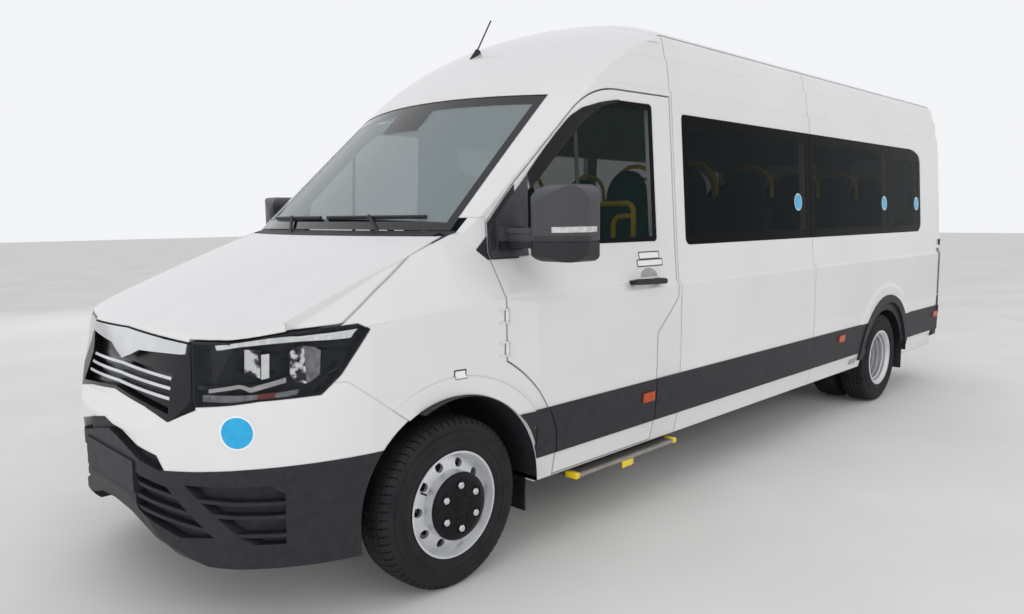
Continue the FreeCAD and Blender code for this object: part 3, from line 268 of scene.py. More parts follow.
# Sight opening of the door glass from the front axle, and its slanted front edge
DOOR_SIGHT_X = (-1.356, -0.470)
DOOR_SIGHT_Z = (1.396, 2.030)
PILLAR_SLOPE = 0.953
PILLAR_POINT = (-0.400, 1.598)


def door_glass():
    """Front door glass with a black edge all round."""
    maker = Maker("door_glass", gloss=0.05)
    x, _, z = maker.axes()
    lean = maker.math("ADD", z, maker.math("MULTIPLY", x, PILLAR_SLOPE))
    rear, front = (X_AXLE + edge for edge in DOOR_SIGHT_X)
    clear = maker.inside(x, rear, front, z, *DOOR_SIGHT_Z, 0.003)
    behind = maker.math("LESS_THAN", lean, PILLAR_POINT[1] + PILLAR_SLOPE * (X_AXLE + PILLAR_POINT[0]))
    clear = maker.math("MULTIPLY", clear, behind)
    return maker.see_through(clear, 0.30, (0.010, 0.022, 0.019)).roughness(0.02, 0.05, 6)


# For each: name, darkest and lightest colour, scale of their noise, roughness, bump, kind of surface
MAKERS = [
    body_paint("white_paint").soft_edges(),
    body_paint("side_paint").crease(CREASE_Z, CREASE_SLOPE),
    mirror_shell(),
    chrome_mixed(),
    side_glass(),
    screen_glass(),
    door_glass(),
    paint("trim_plastic", (0.014, 0.014, 0.018), (0.021, 0.021, 0.026), 30, (0.48, 0.62, 20),
          (900, 0.0004, 0.35), gloss=0.4),
    paint("mirror_foot", (0.040, 0.040, 0.048), (0.052, 0.052, 0.061), 30, (0.42, 0.52, 20),
          (900, 0.0003, 0.3)),
    paint("lamp_grey", (0.10, 0.102, 0.11), (0.20, 0.203, 0.215), 34, (0.2, 0.3, 20), coat=0.4),
    paint("gloss_black", (0.006, 0.006, 0.008), (0.011, 0.011, 0.013), 10, (0.16, 0.26, 12), coat=0.05,
          gloss=0.12),
    paint("plated_trim", (0.66, 0.67, 0.69), (0.74, 0.75, 0.77), 6, (0.08, 0.16, 14), metallic=1.0),
    Maker("tinted_glass", rough=0.03, gloss=0.15, alpha=0.80)
    .colour((0.006, 0.009, 0.010), (0.010, 0.013, 0.014), 4),
    Maker("lamp_glass", rough=0.04, gloss=0.2, alpha=0.08).colour((0.06, 0.07, 0.08), (0.09, 0.10, 0.11), 4),
    paint("red_lamp", (0.30, 0.008, 0.008), (0.38, 0.014, 0.012), 20, (0.12, 0.2, 14), coat=1.0),
    paint("tail_red", (0.10, 0.006, 0.006), (0.16, 0.010, 0.009), 20, (0.15, 0.25, 14), coat=0.4),
    paint("silver_rim", (0.66, 0.67, 0.69), (0.74, 0.75, 0.77), 8, (0.3, 0.42, 18), metallic=0.55),
    paint("tyre", (0.012, 0.012, 0.014), (0.019, 0.019, 0.021), 12, (0.7, 0.85, 24), (240, 0.0006, 0.3),
          gloss=0.35),
    paint("chassis_black", (0.012, 0.012, 0.013), (0.026, 0.025, 0.024), 9, (0.5, 0.68, 12),
          (160, 0.0006, 0.25)),
    paint("forged", (0.06, 0.058, 0.055), (0.11, 0.1, 0.095), 14, (0.5, 0.7, 20), (120, 0.001, 0.3),
          metallic=0.6),
    paint("exhaust_steel", (0.32, 0.3, 0.27), (0.46, 0.44, 0.41), 7, (0.3, 0.5, 12), metallic=0.9),
    paint("tank_plastic", (0.016, 0.016, 0.017), (0.028, 0.028, 0.028), 15, (0.5, 0.66, 20),
          (300, 0.0005, 0.3)),
    paint("floor_vinyl", (0.085, 0.09, 0.095), (0.11, 0.115, 0.12), 60, (0.5, 0.65, 30)),
    paint("dash_plastic", (0.028, 0.029, 0.031), (0.044, 0.045, 0.047), 12, (0.5, 0.68, 26),
          (700, 0.0001, 0.15)),
    paint("seat_fabric", (0.028, 0.075, 0.092), (0.040, 0.098, 0.115), 40, (0.8, 0.95, 30),
          (600, 0.0003, 0.25)),
    paint("seat_steel", (0.045, 0.046, 0.048), (0.07, 0.071, 0.073), 20, (0.4, 0.55, 16)),
    paint("label_blue", (0.008, 0.36, 0.70), (0.014, 0.42, 0.78), 40, (0.25, 0.35, 20), coat=0.3),
    paint("label_white", (0.86, 0.87, 0.88), (0.91, 0.92, 0.93), 40, (0.25, 0.35, 20), coat=0.5),
    paint("label_black", (0.014, 0.014, 0.015), (0.022, 0.022, 0.023), 60, (0.3, 0.4, 20), coat=0.3),
    paint("glass_black", (0.006, 0.006, 0.007), (0.010, 0.010, 0.011), 12, (0.06, 0.12, 12), gloss=0.2),
    paint("lamp_chrome", (0.74, 0.75, 0.76), (0.84, 0.85, 0.86), 30, (0.16, 0.26, 20),
          metallic=0.35, coat=0.5),
    paint("mirror_glass", (0.72, 0.74, 0.75), (0.78, 0.80, 0.81), 3, (0.01, 0.03, 5), metallic=1.0),
    paint("clear_strip", (0.42, 0.43, 0.43), (0.62, 0.63, 0.62), 60, (0.1, 0.2, 30), coat=1.0),
    # Plain grey of the sill plates and lamp bars, also used as painted shade in the hollow behind the door
    # handle
    paint("hollow_grey", (0.34, 0.335, 0.34), (0.42, 0.415, 0.42), 20, (0.3, 0.4, 20)),
    paint("amber_lens", (0.42, 0.055, 0.006), (0.58, 0.085, 0.008), 60, (0.15, 0.25, 20),
          coat=0.15, gloss=0.3),
    paint("yellow_rail", (0.84, 0.60, 0.010), (0.92, 0.68, 0.016), 6, (0.3, 0.42, 14), coat=0.4),
]
MATERIALS = {maker.name: maker.material for maker in MAKERS}

# Nodes whose look differs from their slot's
DRESS_OF = {"side_windows": "side_glass", "windscreen": "screen_glass"}
for _, hand in HANDS:
    DRESS_OF[f"door_glass_{hand}"] = "door_glass"
    DRESS_OF[f"mirror_{hand}"] = "mirror_shell"
    DRESS_OF[f"side_wall_{hand}"] = "side_paint"
    DRESS_OF[f"door_{hand}"] = "side_paint"

for name, node in NODES.items():
    node.data.materials.clear()
    node.data.materials.append(MATERIALS[DRESS_OF.get(name, SLOT_OF[name])])


# Mesh helpers

def sharpen(mesh, angle):
    for polygon in mesh.polygons:
        polygon.use_smooth = True
    mesh.set_sharp_from_angle(angle=math.radians(angle))


def finished(name, bm, angle, material):
    """Mesh from a bmesh, smooth up to an angle, with its material."""
    bmesh.ops.recalc_face_normals(bm, faces=bm.faces)
    mesh = bpy.data.meshes.new(name)
    bm.to_mesh(mesh)
    bm.free()
    sharpen(mesh, angle)
    mesh.materials.append(MATERIALS[material])
    return mesh


def show(name, mesh, body):
    """Object of a mesh, riding on a body."""
    obj = bpy.data.objects.new(name, mesh)
    bpy.context.scene.collection.objects.link(obj)
    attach(obj, body)
    return obj


def add_piece(name, bm, material, body="root", angle=32):
    mesh = finished(name, bm, angle, material)
    show(name, mesh, body)


def add_box(bm, low, high, round_by, steps=2):
    """Box between two corners, its edges rounded."""
    centre = (low + high) / 2
    grow = Matrix.Diagonal((*(high - low), 1))
    made = bmesh.ops.create_cube(bm, size=1.0, matrix=Matrix.Translation(centre) @ grow)
    edges = {edge for vert in made["verts"] for edge in vert.link_edges}
    bmesh.ops.bevel(bm, geom=list(edges), offset=round_by, segments=steps, affect="EDGES", profile=0.5)


def side_box(bm, side, low, high, round_by, steps=2):
    """Rounded box on one side; its corners are for the left side, in millimetres from the front axle."""
    inner, outer = sorted((side * low[1], side * high[1]))
    add_box(bm, at(low[0], inner, low[2]), at(high[0], outer, high[2]), round_by, steps)


def add_tube(bm, start, end, radius, sides):
    """Round bar between two points."""
    along = (end - start).normalized()
    side = along.orthogonal().normalized()
    up = along.cross(side)
    turns = [math.tau * k / sides for k in range(sides)]
    one, two = ([bm.verts.new(point + radius * (math.cos(a) * side + math.sin(a) * up)) for a in turns]
                for point in (start, end))
    for k in range(sides):
        bm.faces.new((one[k], one[(k + 1) % sides], two[(k + 1) % sides], two[k]))
    bm.faces.new(one[::-1])
    bm.faces.new(two)


def add_turned(bm, profile, centre, side, steps):
    """Profile of (outward, radius) turned about the wheel axis through centre."""
    centre = Vector(centre)
    rings = []
    for k in range(steps):
        c, s = math.cos(math.tau * k / steps), math.sin(math.tau * k / steps)
        rings.append([bm.verts.new(centre + Vector((r * c, side * a, r * s))) for a, r in profile])
    for one, two in zip(rings, rings[1:] + rings[:1]):
        for i in range(len(profile) - 1):
            bm.faces.new((one[i], one[i + 1], two[i + 1], two[i]))
    bmesh.ops.remove_doubles(bm, verts=bm.verts, dist=1e-6)


def thicken(bm, faces, along):
    """Sheet made solid by a second skin, moved along a vector."""
    grown = bmesh.ops.extrude_face_region(bm, geom=faces)
    for item in grown["geom"]:
        if isinstance(item, bmesh.types.BMVert):
            item.co += along


# Tyres: ribs with cross grooves, and sidewalls with raised rings

TREAD_PITCHES = 66
TREAD_DEPTH = 0.008
TREAD_EDGE = 0.088
TREAD_CURVE = 0.9
RIB_EDGES = (-0.076, -0.050, -0.044, -0.018, -0.012, 0.012, 0.018, 0.044, 0.050, 0.076)
SHOULDER = ((0.088, 0.336), (0.079, 0.345))
SHOULDER_Y = 0.047

# Depth of the cross grooves on the shoulder ribs and on the middle ribs
CROSS_DEPTH = (0.009, 0.0022)

# Parts of one pitch round the tyre, and whether a cross groove is there
PITCH_PARTS = ((0.0, 0), (0.12, 0), (0.14, 1), (0.30, 1), (0.32, 0), (0.66, 0))

# How many pitches a cross groove turns per metre from the middle
CROSS_SWEEP = 7.15

# Sidewall from the rim outwards: distance from the tyre's middle, and radius
SIDEWALL = ((0.088, 0.214), (0.098, 0.232), (0.1005, 0.240), (0.1025, 0.242), (0.1025, 0.254),
            (0.1005, 0.256), (0.1005, 0.2635), (0.1035, 0.265), (0.1035, 0.270), (0.1005, 0.2715),
            (0.1000, 0.292), (0.1022, 0.294), (0.1012, 0.300), (0.0965, 0.3015), (0.0950, 0.314),
            (0.0925, 0.327))


def tyre_rows():
    """Rows over the tyre as (y, radius, kind), kind 1 on a rib, 0 in a groove and -1 on the sidewall."""
    rows = [(-y, r, -1) for y, r in SIDEWALL]
    rows += [(-y, r, 1) for y, r in SHOULDER]
    for i, y in enumerate(RIB_EDGES):
        crown = TYRE_OUT - TREAD_CURVE * y * y
        foot = crown - TREAD_DEPTH
        if i % 2:
            rows.append((y, crown, 1))
            if i < len(RIB_EDGES) - 1:
                rows.append((y + 0.0005, foot, 0))
        else:
            if i:
                rows.append((y - 0.0005, foot, 0))
            rows.append((y, crown, 1))
    rows += [(y, r, 1) for y, r in reversed(SHOULDER)]
    rows += [(y, r, -1) for y, r in reversed(SIDEWALL)]
    return rows


def tyre_mesh():
    """Tyre about the origin, its axle along Y."""
    bm = bmesh.new()
    rows = tyre_rows()
    stations = [((k + part) / TREAD_PITCHES, cut) for k in range(TREAD_PITCHES) for part, cut in PITCH_PARTS]
    rings = []
    for turn, cut in stations:
        ring = []
        for y, r, kind in rows:
            if cut and kind == 1:
                r -= CROSS_DEPTH[0] if abs(y) > SHOULDER_Y else CROSS_DEPTH[1]
            angle = math.tau * (turn + CROSS_SWEEP * min(abs(y), TREAD_EDGE) / TREAD_PITCHES)
            ring.append(bm.verts.new((r * math.cos(angle), y, r * math.sin(angle))))
        rings.append(ring)
    for one, two in zip(rings, rings[1:] + rings[:1]):
        for i in range(len(rows) - 1):
            bm.faces.new((one[i], one[i + 1], two[i + 1], two[i]))
    return finished("tyre_mesh", bm, 30, "tyre")


def tread(mesh, node, i, x, y, body):
    copy = mesh.copy()
    copy.transform(Matrix.Translation((x, y, TYRE_OUT)))
    obj = show(f"{node}_tread_{i}", copy, body)
    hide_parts(node)


# Wheel middles: profiles of (outward, radius) in metres, nuts and valve

NUT_COUNT = 6
FRONT_FACE = FRONT_Y + 0.112
FRONT_NUT_RING = 0.089
REAR_FACE = REAR_Y + 0.011
REAR_NUT_RING = 0.085
HUB_CONE = ((-0.052, 0.1395), (-0.034, 0.1385), (-0.010, 0.1375), (0.0, 0.1365))
HUB_COVER = ((0.000, 0.136), (0.004, 0.1385), (0.010, 0.137), (0.016, 0.128), (0.021, 0.105), (0.024, 0.062),
             (0.022, 0.048), (0.022, 0.040), (0.0255, 0.036), (0.0265, 0.0))
NUT_CUP = ((0.018, 0.025), (0.0245, 0.024), (0.0245, 0.019), (0.017, 0.0185))
FRONT_NUT = ((0.0, 0.0165), (0.008, 0.0165), (0.0125, 0.013), (0.0145, 0.0))
REAR_NUT = ((0.0, 0.018), (0.018, 0.018), (0.024, 0.013), (0.026, 0.0))
REAR_HUB = ((0.124, 0.0), (0.124, 0.040), (0.118, 0.048), (0.0, 0.052))
BARREL_RIDGE = ((-0.007, 0.1785), (-0.003, 0.171), (0.003, 0.171), (0.007, 0.1785))
BARREL_RIDGE_Y = (0.936, 0.902, 0.866, 0.828)


def around(x, y, radius, angle):
    """Place on a circle about a wheel's axis."""
    return Vector((x + radius * math.cos(angle), y, TYRE_OUT + radius * math.sin(angle)))


def nut_turns():
    return [math.tau * (k + 0.5) / NUT_COUNT for k in range(NUT_COUNT)]


def hub_plate(side, body):
    """Dark cover in the middle of a front wheel, with six recessed nuts and low ribs between them."""
    place = (X_AXLE, side * FRONT_FACE, TYRE_OUT)
    bm = bmesh.new()
    add_turned(bm, HUB_CONE, place, side, 72)
    add_piece(f"hub_cone_{body}", bm, "silver_rim", body, angle=40)
    bm = bmesh.new()
    add_turned(bm, HUB_COVER, place, side, 72)
    for angle in nut_turns():
        add_turned(bm, NUT_CUP, around(X_AXLE, side * FRONT_FACE, FRONT_NUT_RING, angle), side, 24)
        rib = angle + math.tau / NUT_COUNT / 2
        start = around(X_AXLE, side * (FRONT_FACE + 0.0235), 0.045, rib)
        end = around(X_AXLE, side * (FRONT_FACE + 0.0165), 0.118, rib)
        add_tube(bm, start, end, 0.0028, 6)
    add_piece(f"hub_plate_{body}", bm, "gloss_black", body, angle=25)
    bm = bmesh.new()
    for angle in nut_turns():
        foot = around(X_AXLE, side * (FRONT_FACE + 0.014), FRONT_NUT_RING, angle)
        add_turned(bm, FRONT_NUT, foot, side, 6)
    add_piece(f"wheel_nuts_{body}", bm, "plated_trim", body, angle=20)


def valve(side, body):
    bm = bmesh.new()
    foot = Vector((X_AXLE + 0.160, side * (FRONT_Y + 0.078), TYRE_OUT + 0.085))
    add_tube(bm, foot, foot + Vector((-0.004, side * 0.030, -0.002)), 0.004, 8)
    add_piece(f"valve_{body}", bm, "tyre", body)


def rear_hub(side, body):
    """Nuts, hub and barrel ridges of the deep-dished rear wheel."""
    bm = bmesh.new()
    for angle in nut_turns():
        add_turned(bm, REAR_NUT, around(REAR_X, side * REAR_FACE, REAR_NUT_RING, angle), side, 6)
    add_turned(bm, REAR_HUB, (REAR_X, side * REAR_FACE, TYRE_OUT), side, 32)
    for y in BARREL_RIDGE_Y:
        add_turned(bm, BARREL_RIDGE, (REAR_X, side * y, TYRE_OUT), side, 72)
    add_piece(f"rear_hub_{body}", bm, "silver_rim", body, angle=25)


def wheels():
    mesh = tyre_mesh()
    for side, hand in HANDS:
        front, rear = f"wheel_front_{hand}", f"wheel_rear_{hand}"
        tread(mesh, f"front_tyre_{hand}", 0, X_AXLE, side * FRONT_Y, front)
        for i, y in enumerate((REAR_Y - TWIN_HALF, REAR_Y + TWIN_HALF)):
            tread(mesh, f"rear_tyres_{hand}", i, REAR_X, side * y, rear)
        hub_plate(side, front)
        valve(side, front)
        rear_hub(side, rear)


# Surface patches: flat outlines thrown onto the bodywork

def surface(*names):
    """Search trees of CAD nodes."""
    graph = bpy.context.evaluated_depsgraph_get()
    return [BVHTree.FromObject(NODES[name], graph) for name in names]


def land(trees, start, direction):
    """First hit of a ray on any of the trees, and the normal there facing back along the ray."""
    best = None
    for tree in trees:
        hit, normal, _, distance = tree.ray_cast(start, direction)
        if hit is not None and (best is None or distance < best[2]):
            best = (hit, normal, distance)
    if best is None:
        return None, None
    normal = best[1] if best[1].dot(direction) < 0 else -best[1]
    return best[0], normal


def throw(name, rings, origin, across, trees, lift, material, body, thick=0.0):
    """Nested closed rings of (u, v) points in metres, the innermost one filled, laid onto a surface."""
    across, up = Vector(across).normalized(), Vector(UP)
    direction = up.cross(across).normalized()
    bm = bmesh.new()
    made = []
    for ring in rings:
        verts = []
        for u, v in ring:
            place = origin + across * u + up * v
            hit, normal = land(trees, place - direction * 0.4, direction)
            if hit is None:
                hit, normal = place, -direction
            verts.append(bm.verts.new(hit + normal * lift))
        made.append(verts)
    for one, two in zip(made, made[1:]):
        for i in range(len(one)):
            j = (i + 1) % len(one)
            bm.faces.new((one[i], one[j], two[j], two[i]))
    bm.faces.new(made[-1])
    bmesh.ops.triangulate(bm, faces=[f for f in bm.faces if len(f.verts) > 4])
    if thick:
        thicken(bm, list(bm.faces), direction * -thick)
    add_piece(name, bm, material, body, angle=40)


def shrunk(ring, share):
    return [(u * share, v * share) for u, v in ring]


def side_patch(name, outline, side, x, z, trees, lift, material, body="root", slot=None, thick=0.0,
               shares=(1.0, 0.9), y=SIDE_Y):
    """Outline about a point of one side, in millimetres from the front axle, laid onto that side."""
    rings = [shrunk(outline, share) for share in shares]
    throw(name, rings, at(x, side * y, z), (-side, 0, 0), trees, lift, material, body, thick)


def circle(radius, count=48):
    turns = [math.tau * k / count for k in range(count)]
    return [(radius * math.cos(turn), radius * math.sin(turn)) for turn in turns]


def plate_outline(width, height, corner, count=6):
    """Rounded rectangle with its sides divided, so that it follows a curved surface."""
    w, h = width / 2 - corner, height / 2 - corner
    centres = ((w, h), (-w, h), (-w, -h), (w, -h))

    def rim(k, turn):
        x, y = centres[k % 4]
        return x + corner * math.cos(turn * math.pi / 2), y + corner * math.sin(turn * math.pi / 2)

    points = []
    for k in range(4):
        points += [rim(k, k + j / 4) for j in range(5)]
        (x0, y0), (x1, y1) = points[-1], rim(k + 1, k + 1)
        points += [(x0 + (x1 - x0) * j / count, y0 + (y1 - y0) * j / count) for j in range(1, count)]
    return points


def spread(points, count):
    """Points evenly spaced along a polyline."""
    points = [Vector(p) for p in points]
    lengths = [0.0]
    for a, b in zip(points, points[1:]):
        lengths.append(lengths[-1] + (b - a).length)
    out = []
    for k in range(count):
        want = lengths[-1] * k / (count - 1)
        i = next((i for i in range(len(points) - 1) if want <= lengths[i + 1] + 1e-9), len(points) - 2)
        share = (want - lengths[i]) / max(lengths[i + 1] - lengths[i], 1e-9)
        out.append(points[i].lerp(points[i + 1], share))
    return out


def ribbon(name, edges, direction, trees, lift, material, body="root", slot=None, count=40, across=3,
           thick=0.0):
    """Strip between two polylines, thrown onto a surface along a direction."""
    direction = Vector(direction).normalized()
    bm = bmesh.new()
    rows = []
    last = None
    for a, b in zip(*(spread(edge, count) for edge in edges)):
        row = []
        for k in range(across + 1):
            place = a.lerp(b, k / across)
            hit, normal = land(trees, place - direction * 0.5, direction)
            if hit is None and last:
                hit, normal = last[0] + place - last[2], last[1]
            elif hit is None:
                hit, normal = place, -direction
            last = (hit, normal, place)
            row.append(bm.verts.new(hit + normal * lift))
        rows.append(row)
    for one, two in zip(rows, rows[1:]):
        for k in range(across):
            bm.faces.new((one[k], one[k + 1], two[k + 1], two[k]))
    if thick:
        thicken(bm, list(bm.faces), direction * -thick)
    add_piece(name, bm, material, body, angle=35)


def side_ribbon(name, side, edges, trees, lift, material, body="root", **kind):
    """Strip between two polylines of (x, z) points, in millimetres from the front axle, laid onto a side."""
    edges = [[at(x, side * SIDE_Y, z) for x, z in edge] for edge in edges]
    ribbon(name, edges, (0, -side, 0), trees, lift, material, body, **kind)


# Blue discs, blank plates and amber markers: places in millimetres, sizes in metres

DISC_NOSE = (784, 716, 760)
DISC_NOSE_R = 0.062
DISC_WINDOW_X = (-2975, -4480, -5210)
DISC_WINDOW_Z = 1580
DISC_WINDOW_R = 0.055
PLATE_BORDER = 0.006

# Blank plates of one side: name and number, what carries them, x, y, z, width and height
PLATES = (("door_sign", "_0", "door", -1300, 975, 1303, 0.165, 0.040),
          ("door_sign", "_1", "door", -1300, 982, 1266, 0.208, 0.038),
          ("arch_sign", "", "wing", -26, 980, 884, 0.060, 0.038))

# Side markers: x, z and whether the door carries it
MARKERS = ((-1247, 590, True), (-3620, 610, False), (-5660, 600, False))


def disc(name, origin, across, trees, radius):
    """Blank blue disc with a white rim."""
    for suffix, grow, shares, lift, material in (("_rim", 1.0, (0.7, 0.3), 0.0008, "label_white"),
                                                 ("", 0.90, (0.6, 0.3), 0.0014, "label_blue")):
        rings = [circle(radius * share) for share in (grow, *shares)]
        throw(name + suffix, rings, origin, across, trees, lift, material, "root")


def labels():
    nose = surface("front_bumper", "front_wings", "headlamps")
    glass = surface("side_windows")
    wings = surface("front_wings")
    for side, hand in HANDS:
        x, y, z = DISC_NOSE
        disc(f"disc_nose_{side}", at(x, side * y, z), (-0.78 * side, 0.62, 0), nose, DISC_NOSE_R)
        for i, x in enumerate(DISC_WINDOW_X):
            disc(f"disc_window_{side}_{i}", at(x, side * SIDE_Y, DISC_WINDOW_Z), (-side, 0, 0), glass,
                 DISC_WINDOW_R)
        door = surface(f"door_{hand}")
        for name, number, part, x, y, z, width, height in PLATES:
            trees, body = (door, f"door_{hand}") if part == "door" else (wings, "root")
            for kind, lift, less, material in (("edge", 0.0006, 0.0, "label_black"),
                                               ("face", 0.0011, 2 * PLATE_BORDER, "label_white")):
                outline = plate_outline(width - less, height - less, 0.002, 4)
                side_patch(f"{name}_{side}{number}_{kind}", outline, side, x, z, trees, lift, material, body,
                           y=y)


def markers():
    """Amber side markers, in the dark band."""
    parts = ("side_mouldings", "side_wall_left", "side_wall_right", "door_trim_left", "door_trim_right")
    trees = surface(*parts)
    outline = plate_outline(0.095, 0.048, 0.006, 4)
    for side, hand in HANDS:
        for i, (x, z, on_door) in enumerate(MARKERS):
            side_patch(f"marker_{side}_{i}", outline, side, x, z, trees, 0.001, "amber_lens",
                       f"door_{hand}" if on_door else "root", thick=0.008)


# Headlamps: reflectors, running light and bars just behind the clear cover.
# Points are given for the left side, in millimetres from the front axle.

LAMP_AIM = (-0.72, -0.69)

# Each strip: name, points along, depth behind the cover in metres, material, one edge and the other
# Strips in chrome_mixed carry painted reflections in their patchy colour
LAMP_STRIPS = (
    ("running_light", 36, 0.0040, "lamp_chrome",
     ((813, 636, 1066), (685, 797, 1092), (598, 847, 1098), (482, 887, 1103), (400, 910, 1109)),
     ((814, 652, 1050), (765, 733, 1064), (686, 797, 1072), (601, 850, 1077), (491, 899, 1076),
      (430, 912, 1078))),
    ("lamp_fin", 20, 0.0048, "chrome_mixed",
     ((755, 742, 1054), (714, 776, 1053)),
     ((758, 740, 972), (717, 774, 952))),
    ("lamp_pane", 20, 0.0048, "lamp_chrome",
     ((712, 778, 1035), (690, 794, 1038)),
     ((715, 776, 947), (693, 792, 953))),
    ("lamp_bowl", 20, 0.0048, "chrome_mixed",
     ((636, 829, 1036), (618, 841, 1058), (590, 856, 1062)),
     ((633, 831, 962), (620, 840, 934), (586, 858, 926))),
    ("lamp_shade", 20, 0.0052, "lamp_grey",
     ((592, 855, 1061), (560, 871, 1056), (538, 881, 1040)),
     ((588, 857, 927), (570, 866, 934), (544, 878, 956))),
    ("lamp_foot", 20, 0.0048, "lamp_grey",
     ((852, 612, 892), (760, 740, 893), (676, 803, 898), (610, 846, 908)),
     ((856, 612, 868), (760, 742, 868), (680, 802, 876), (616, 843, 890))),
    ("lamp_bar", 30, 0.0046, "hollow_grey",
     ((843, 635, 913), (770, 729, 932), (745, 751, 920), (646, 823, 952)),
     ((843, 635, 899), (770, 729, 918), (745, 751, 902), (646, 823, 934))),
    ("turn_lamp", 20, 0.0044, "tail_red",
     ((724, 767, 896), (676, 803, 901)),
     ((728, 765, 872), (680, 800, 878))),
)


def headlamps():
    trees = surface("headlamps")
    for side, _ in HANDS:
        aim = (LAMP_AIM[0], LAMP_AIM[1] * side, 0)
        for name, count, depth, material, *edges in LAMP_STRIPS:
            edges = [[at(x, side * y, z) for x, y, z in edge] for edge in edges]
            ribbon(f"{name}_{side}", edges, aim, trees, -depth, material, slot="lamp_glass", count=count)


# Black trim on the door, in side view as (x, z) in millimetres from the front axle:
# a patch from the mirror's foot to the slanted front edge of the glass, and an edge along its arched top

DOOR_PATCH = ((-272, 1328), (-352, 1330), (-420, 1331), (-486, 1333), (-494, 1420), (-500, 1509),
              (-504, 1600), (-508, 1690), (-430, 1612), (-352, 1540), (-272, 1448))
GLASS_TOP = ((-506, 1690), (-560, 1747), (-624, 1811), (-687, 1871), (-752, 1929), (-794, 1962),
             (-872, 2003), (-997, 2038), (-1130, 2061))
GLASS_TOP_FOOT = ((-520, 1618), (-590, 1682), (-660, 1745), (-720, 1799), (-790, 1862), (-850, 1915),
                  (-920, 1966), (-1010, 2018), (-1130, 2048))

# Painted shade of the hollow behind the door handle, as a flat grey patch: half width, rise, drop of its
# foot below the middle, and place
HOLLOW_HALF = 0.070
HOLLOW_RISE = 0.046
HOLLOW_DROP = 0.018
HOLLOW_AT = (-1278, 1214)


def door_patch(name, side, trees, body):
    """Door patch as rings about the mean of its points, with each edge in four parts."""
    ring = [Vector(p) for p in DOOR_PATCH]
    middle = sum(ring, Vector((0, 0))) / len(ring)
    dense = [a.lerp(b, k / 4) for a, b in zip(ring, ring[1:] + ring[:1]) for k in range(4)]
    outline = [(side * (middle.x - p.x) / 1000, (p.y - middle.y) / 1000) for p in dense]
    side_patch(name, outline, side, middle.x, middle.y, trees, 0.0042, "mirror_foot", body,
               shares=(1.0, 0.72, 0.4))


def door_trim():
    arch = [math.pi * k / 24 for k in range(25)]
    hollow = [(HOLLOW_HALF * math.cos(turn), HOLLOW_RISE * math.sin(turn) - HOLLOW_DROP) for turn in arch]
    hollow += [(HOLLOW_HALF * (k / 5 - 1), -HOLLOW_DROP) for k in range(1, 10)]
    for side, hand in HANDS:
        body = f"door_{hand}"
        trees = surface(body, f"door_glass_{hand}")
        door_patch(f"mirror_base_{hand}", side, trees, body)
        side_ribbon(f"glass_edge_{hand}", side, (GLASS_TOP, GLASS_TOP_FOOT), trees, 0.0042, "glass_black",
                    body, count=48, across=12)
        # Flat grey patch on the door: painted shade of the hollow behind the handle
        side_patch(f"handle_hollow_shade_{hand}", hollow, side, *HOLLOW_AT, trees, 0.0006, "hollow_grey", body,
                   shares=(1.0, 0.6))


# Door mirrors: web between the arms, glasses, lamp strip and a black strip as painted shade in the groove,
# in millimetres

MIRROR_WEB = ((-398, 905, 1392), (-352, 1085, 1438))
MIRROR_GLASS_X = (-533.5, -529)
MIRROR_GLASS_Y = (1084, 1268)
MIRROR_GLASS_Z = ((1414, 1600), (1334, 1390))
MIRROR_AIM = (-0.82, -0.57)

# Strips round the head: places from above with the two heights of the strip there
MIRROR_LAMP = ((-355, 1170, 1460, 1437), (-400, 1242, 1461, 1438), (-500, 1285, 1462, 1439))
# Black strip laid along the mirror's groove: painted shade
MIRROR_GROOVE = ((-342, 1085, 1424, 1406), (-362, 1190, 1424, 1406), (-404, 1246, 1424, 1406),
                 (-470, 1283, 1424, 1406))


def mirror_strip(name, side, places, lift, material, body, **kind):
    edges = [[at(place[0], side * place[1], place[i]) for place in places] for i in (2, 3)]
    aim = (MIRROR_AIM[0], MIRROR_AIM[1] * side, 0)
    hand = dict(HANDS)[side]
    ribbon(f"{name}_{hand}", edges, aim, surface(f"mirror_{hand}"), lift, material, body, **kind)


def mirrors():
    for side, hand in HANDS:
        body = f"door_{hand}"
        bm = bmesh.new()
        side_box(bm, side, *MIRROR_WEB, 0.006)
        add_piece(f"mirror_web_{hand}", bm, "mirror_foot", body)
        bm = bmesh.new()
        for low, high in MIRROR_GLASS_Z:
            (x0, x1), (y0, y1) = MIRROR_GLASS_X, MIRROR_GLASS_Y
            side_box(bm, side, (x0, y0, low), (x1, y1, high), 0.0015)
        add_piece(f"mirror_glass_{hand}", bm, "mirror_glass", body)
        mirror_strip("mirror_lamp", side, MIRROR_LAMP, 0.0008, "clear_strip", body, count=40, thick=0.003)
        # Painted shade: black strip along the groove round the mirror head
        mirror_strip("mirror_groove", side, MIRROR_GROOVE, 0.0016, "label_black", body, slot="trim_plastic",
                     count=60)


# Arches: black bands inside their edges, a panel round the rear wheel, a piece of moulding in front

AXLE_BACK = (REAR_X - X_AXLE) * 1000
ARCH_Z = 368

# Each band: middle, first of 36 steps from the front over the top, foot behind and outer edge
BANDS = ((-10, 13, 350, 1002), (AXLE_BACK, 3, 404, 1032))
BAND_R = 430
BAND_INNER_Y = (860, 930)

# Outer and inner edge of the panel: radii along and up, distance from the middle, height of the centre
PANEL_OUTER = (431, 431, 1014, ARCH_Z)
PANEL_INNER = (392, 386, 1008, 352)

# Moulding between the front arch and the door's front seam
FRONT_MOULD_X = -424
FRONT_MOULD_Z = (502, 545, 590, 632, 672)
FRONT_MOULD_R = 433


def add_sheet(bm, rows, along):
    """Sheet through rows of points, given a thickness along a vector."""
    made = [[bm.verts.new(p) for p in row] for row in rows]
    faces = [bm.faces.new((one[k], one[k + 1], two[k + 1], two[k]))
             for one, two in zip(made, made[1:]) for k in range(len(one) - 1)]
    thicken(bm, faces, Vector(along))


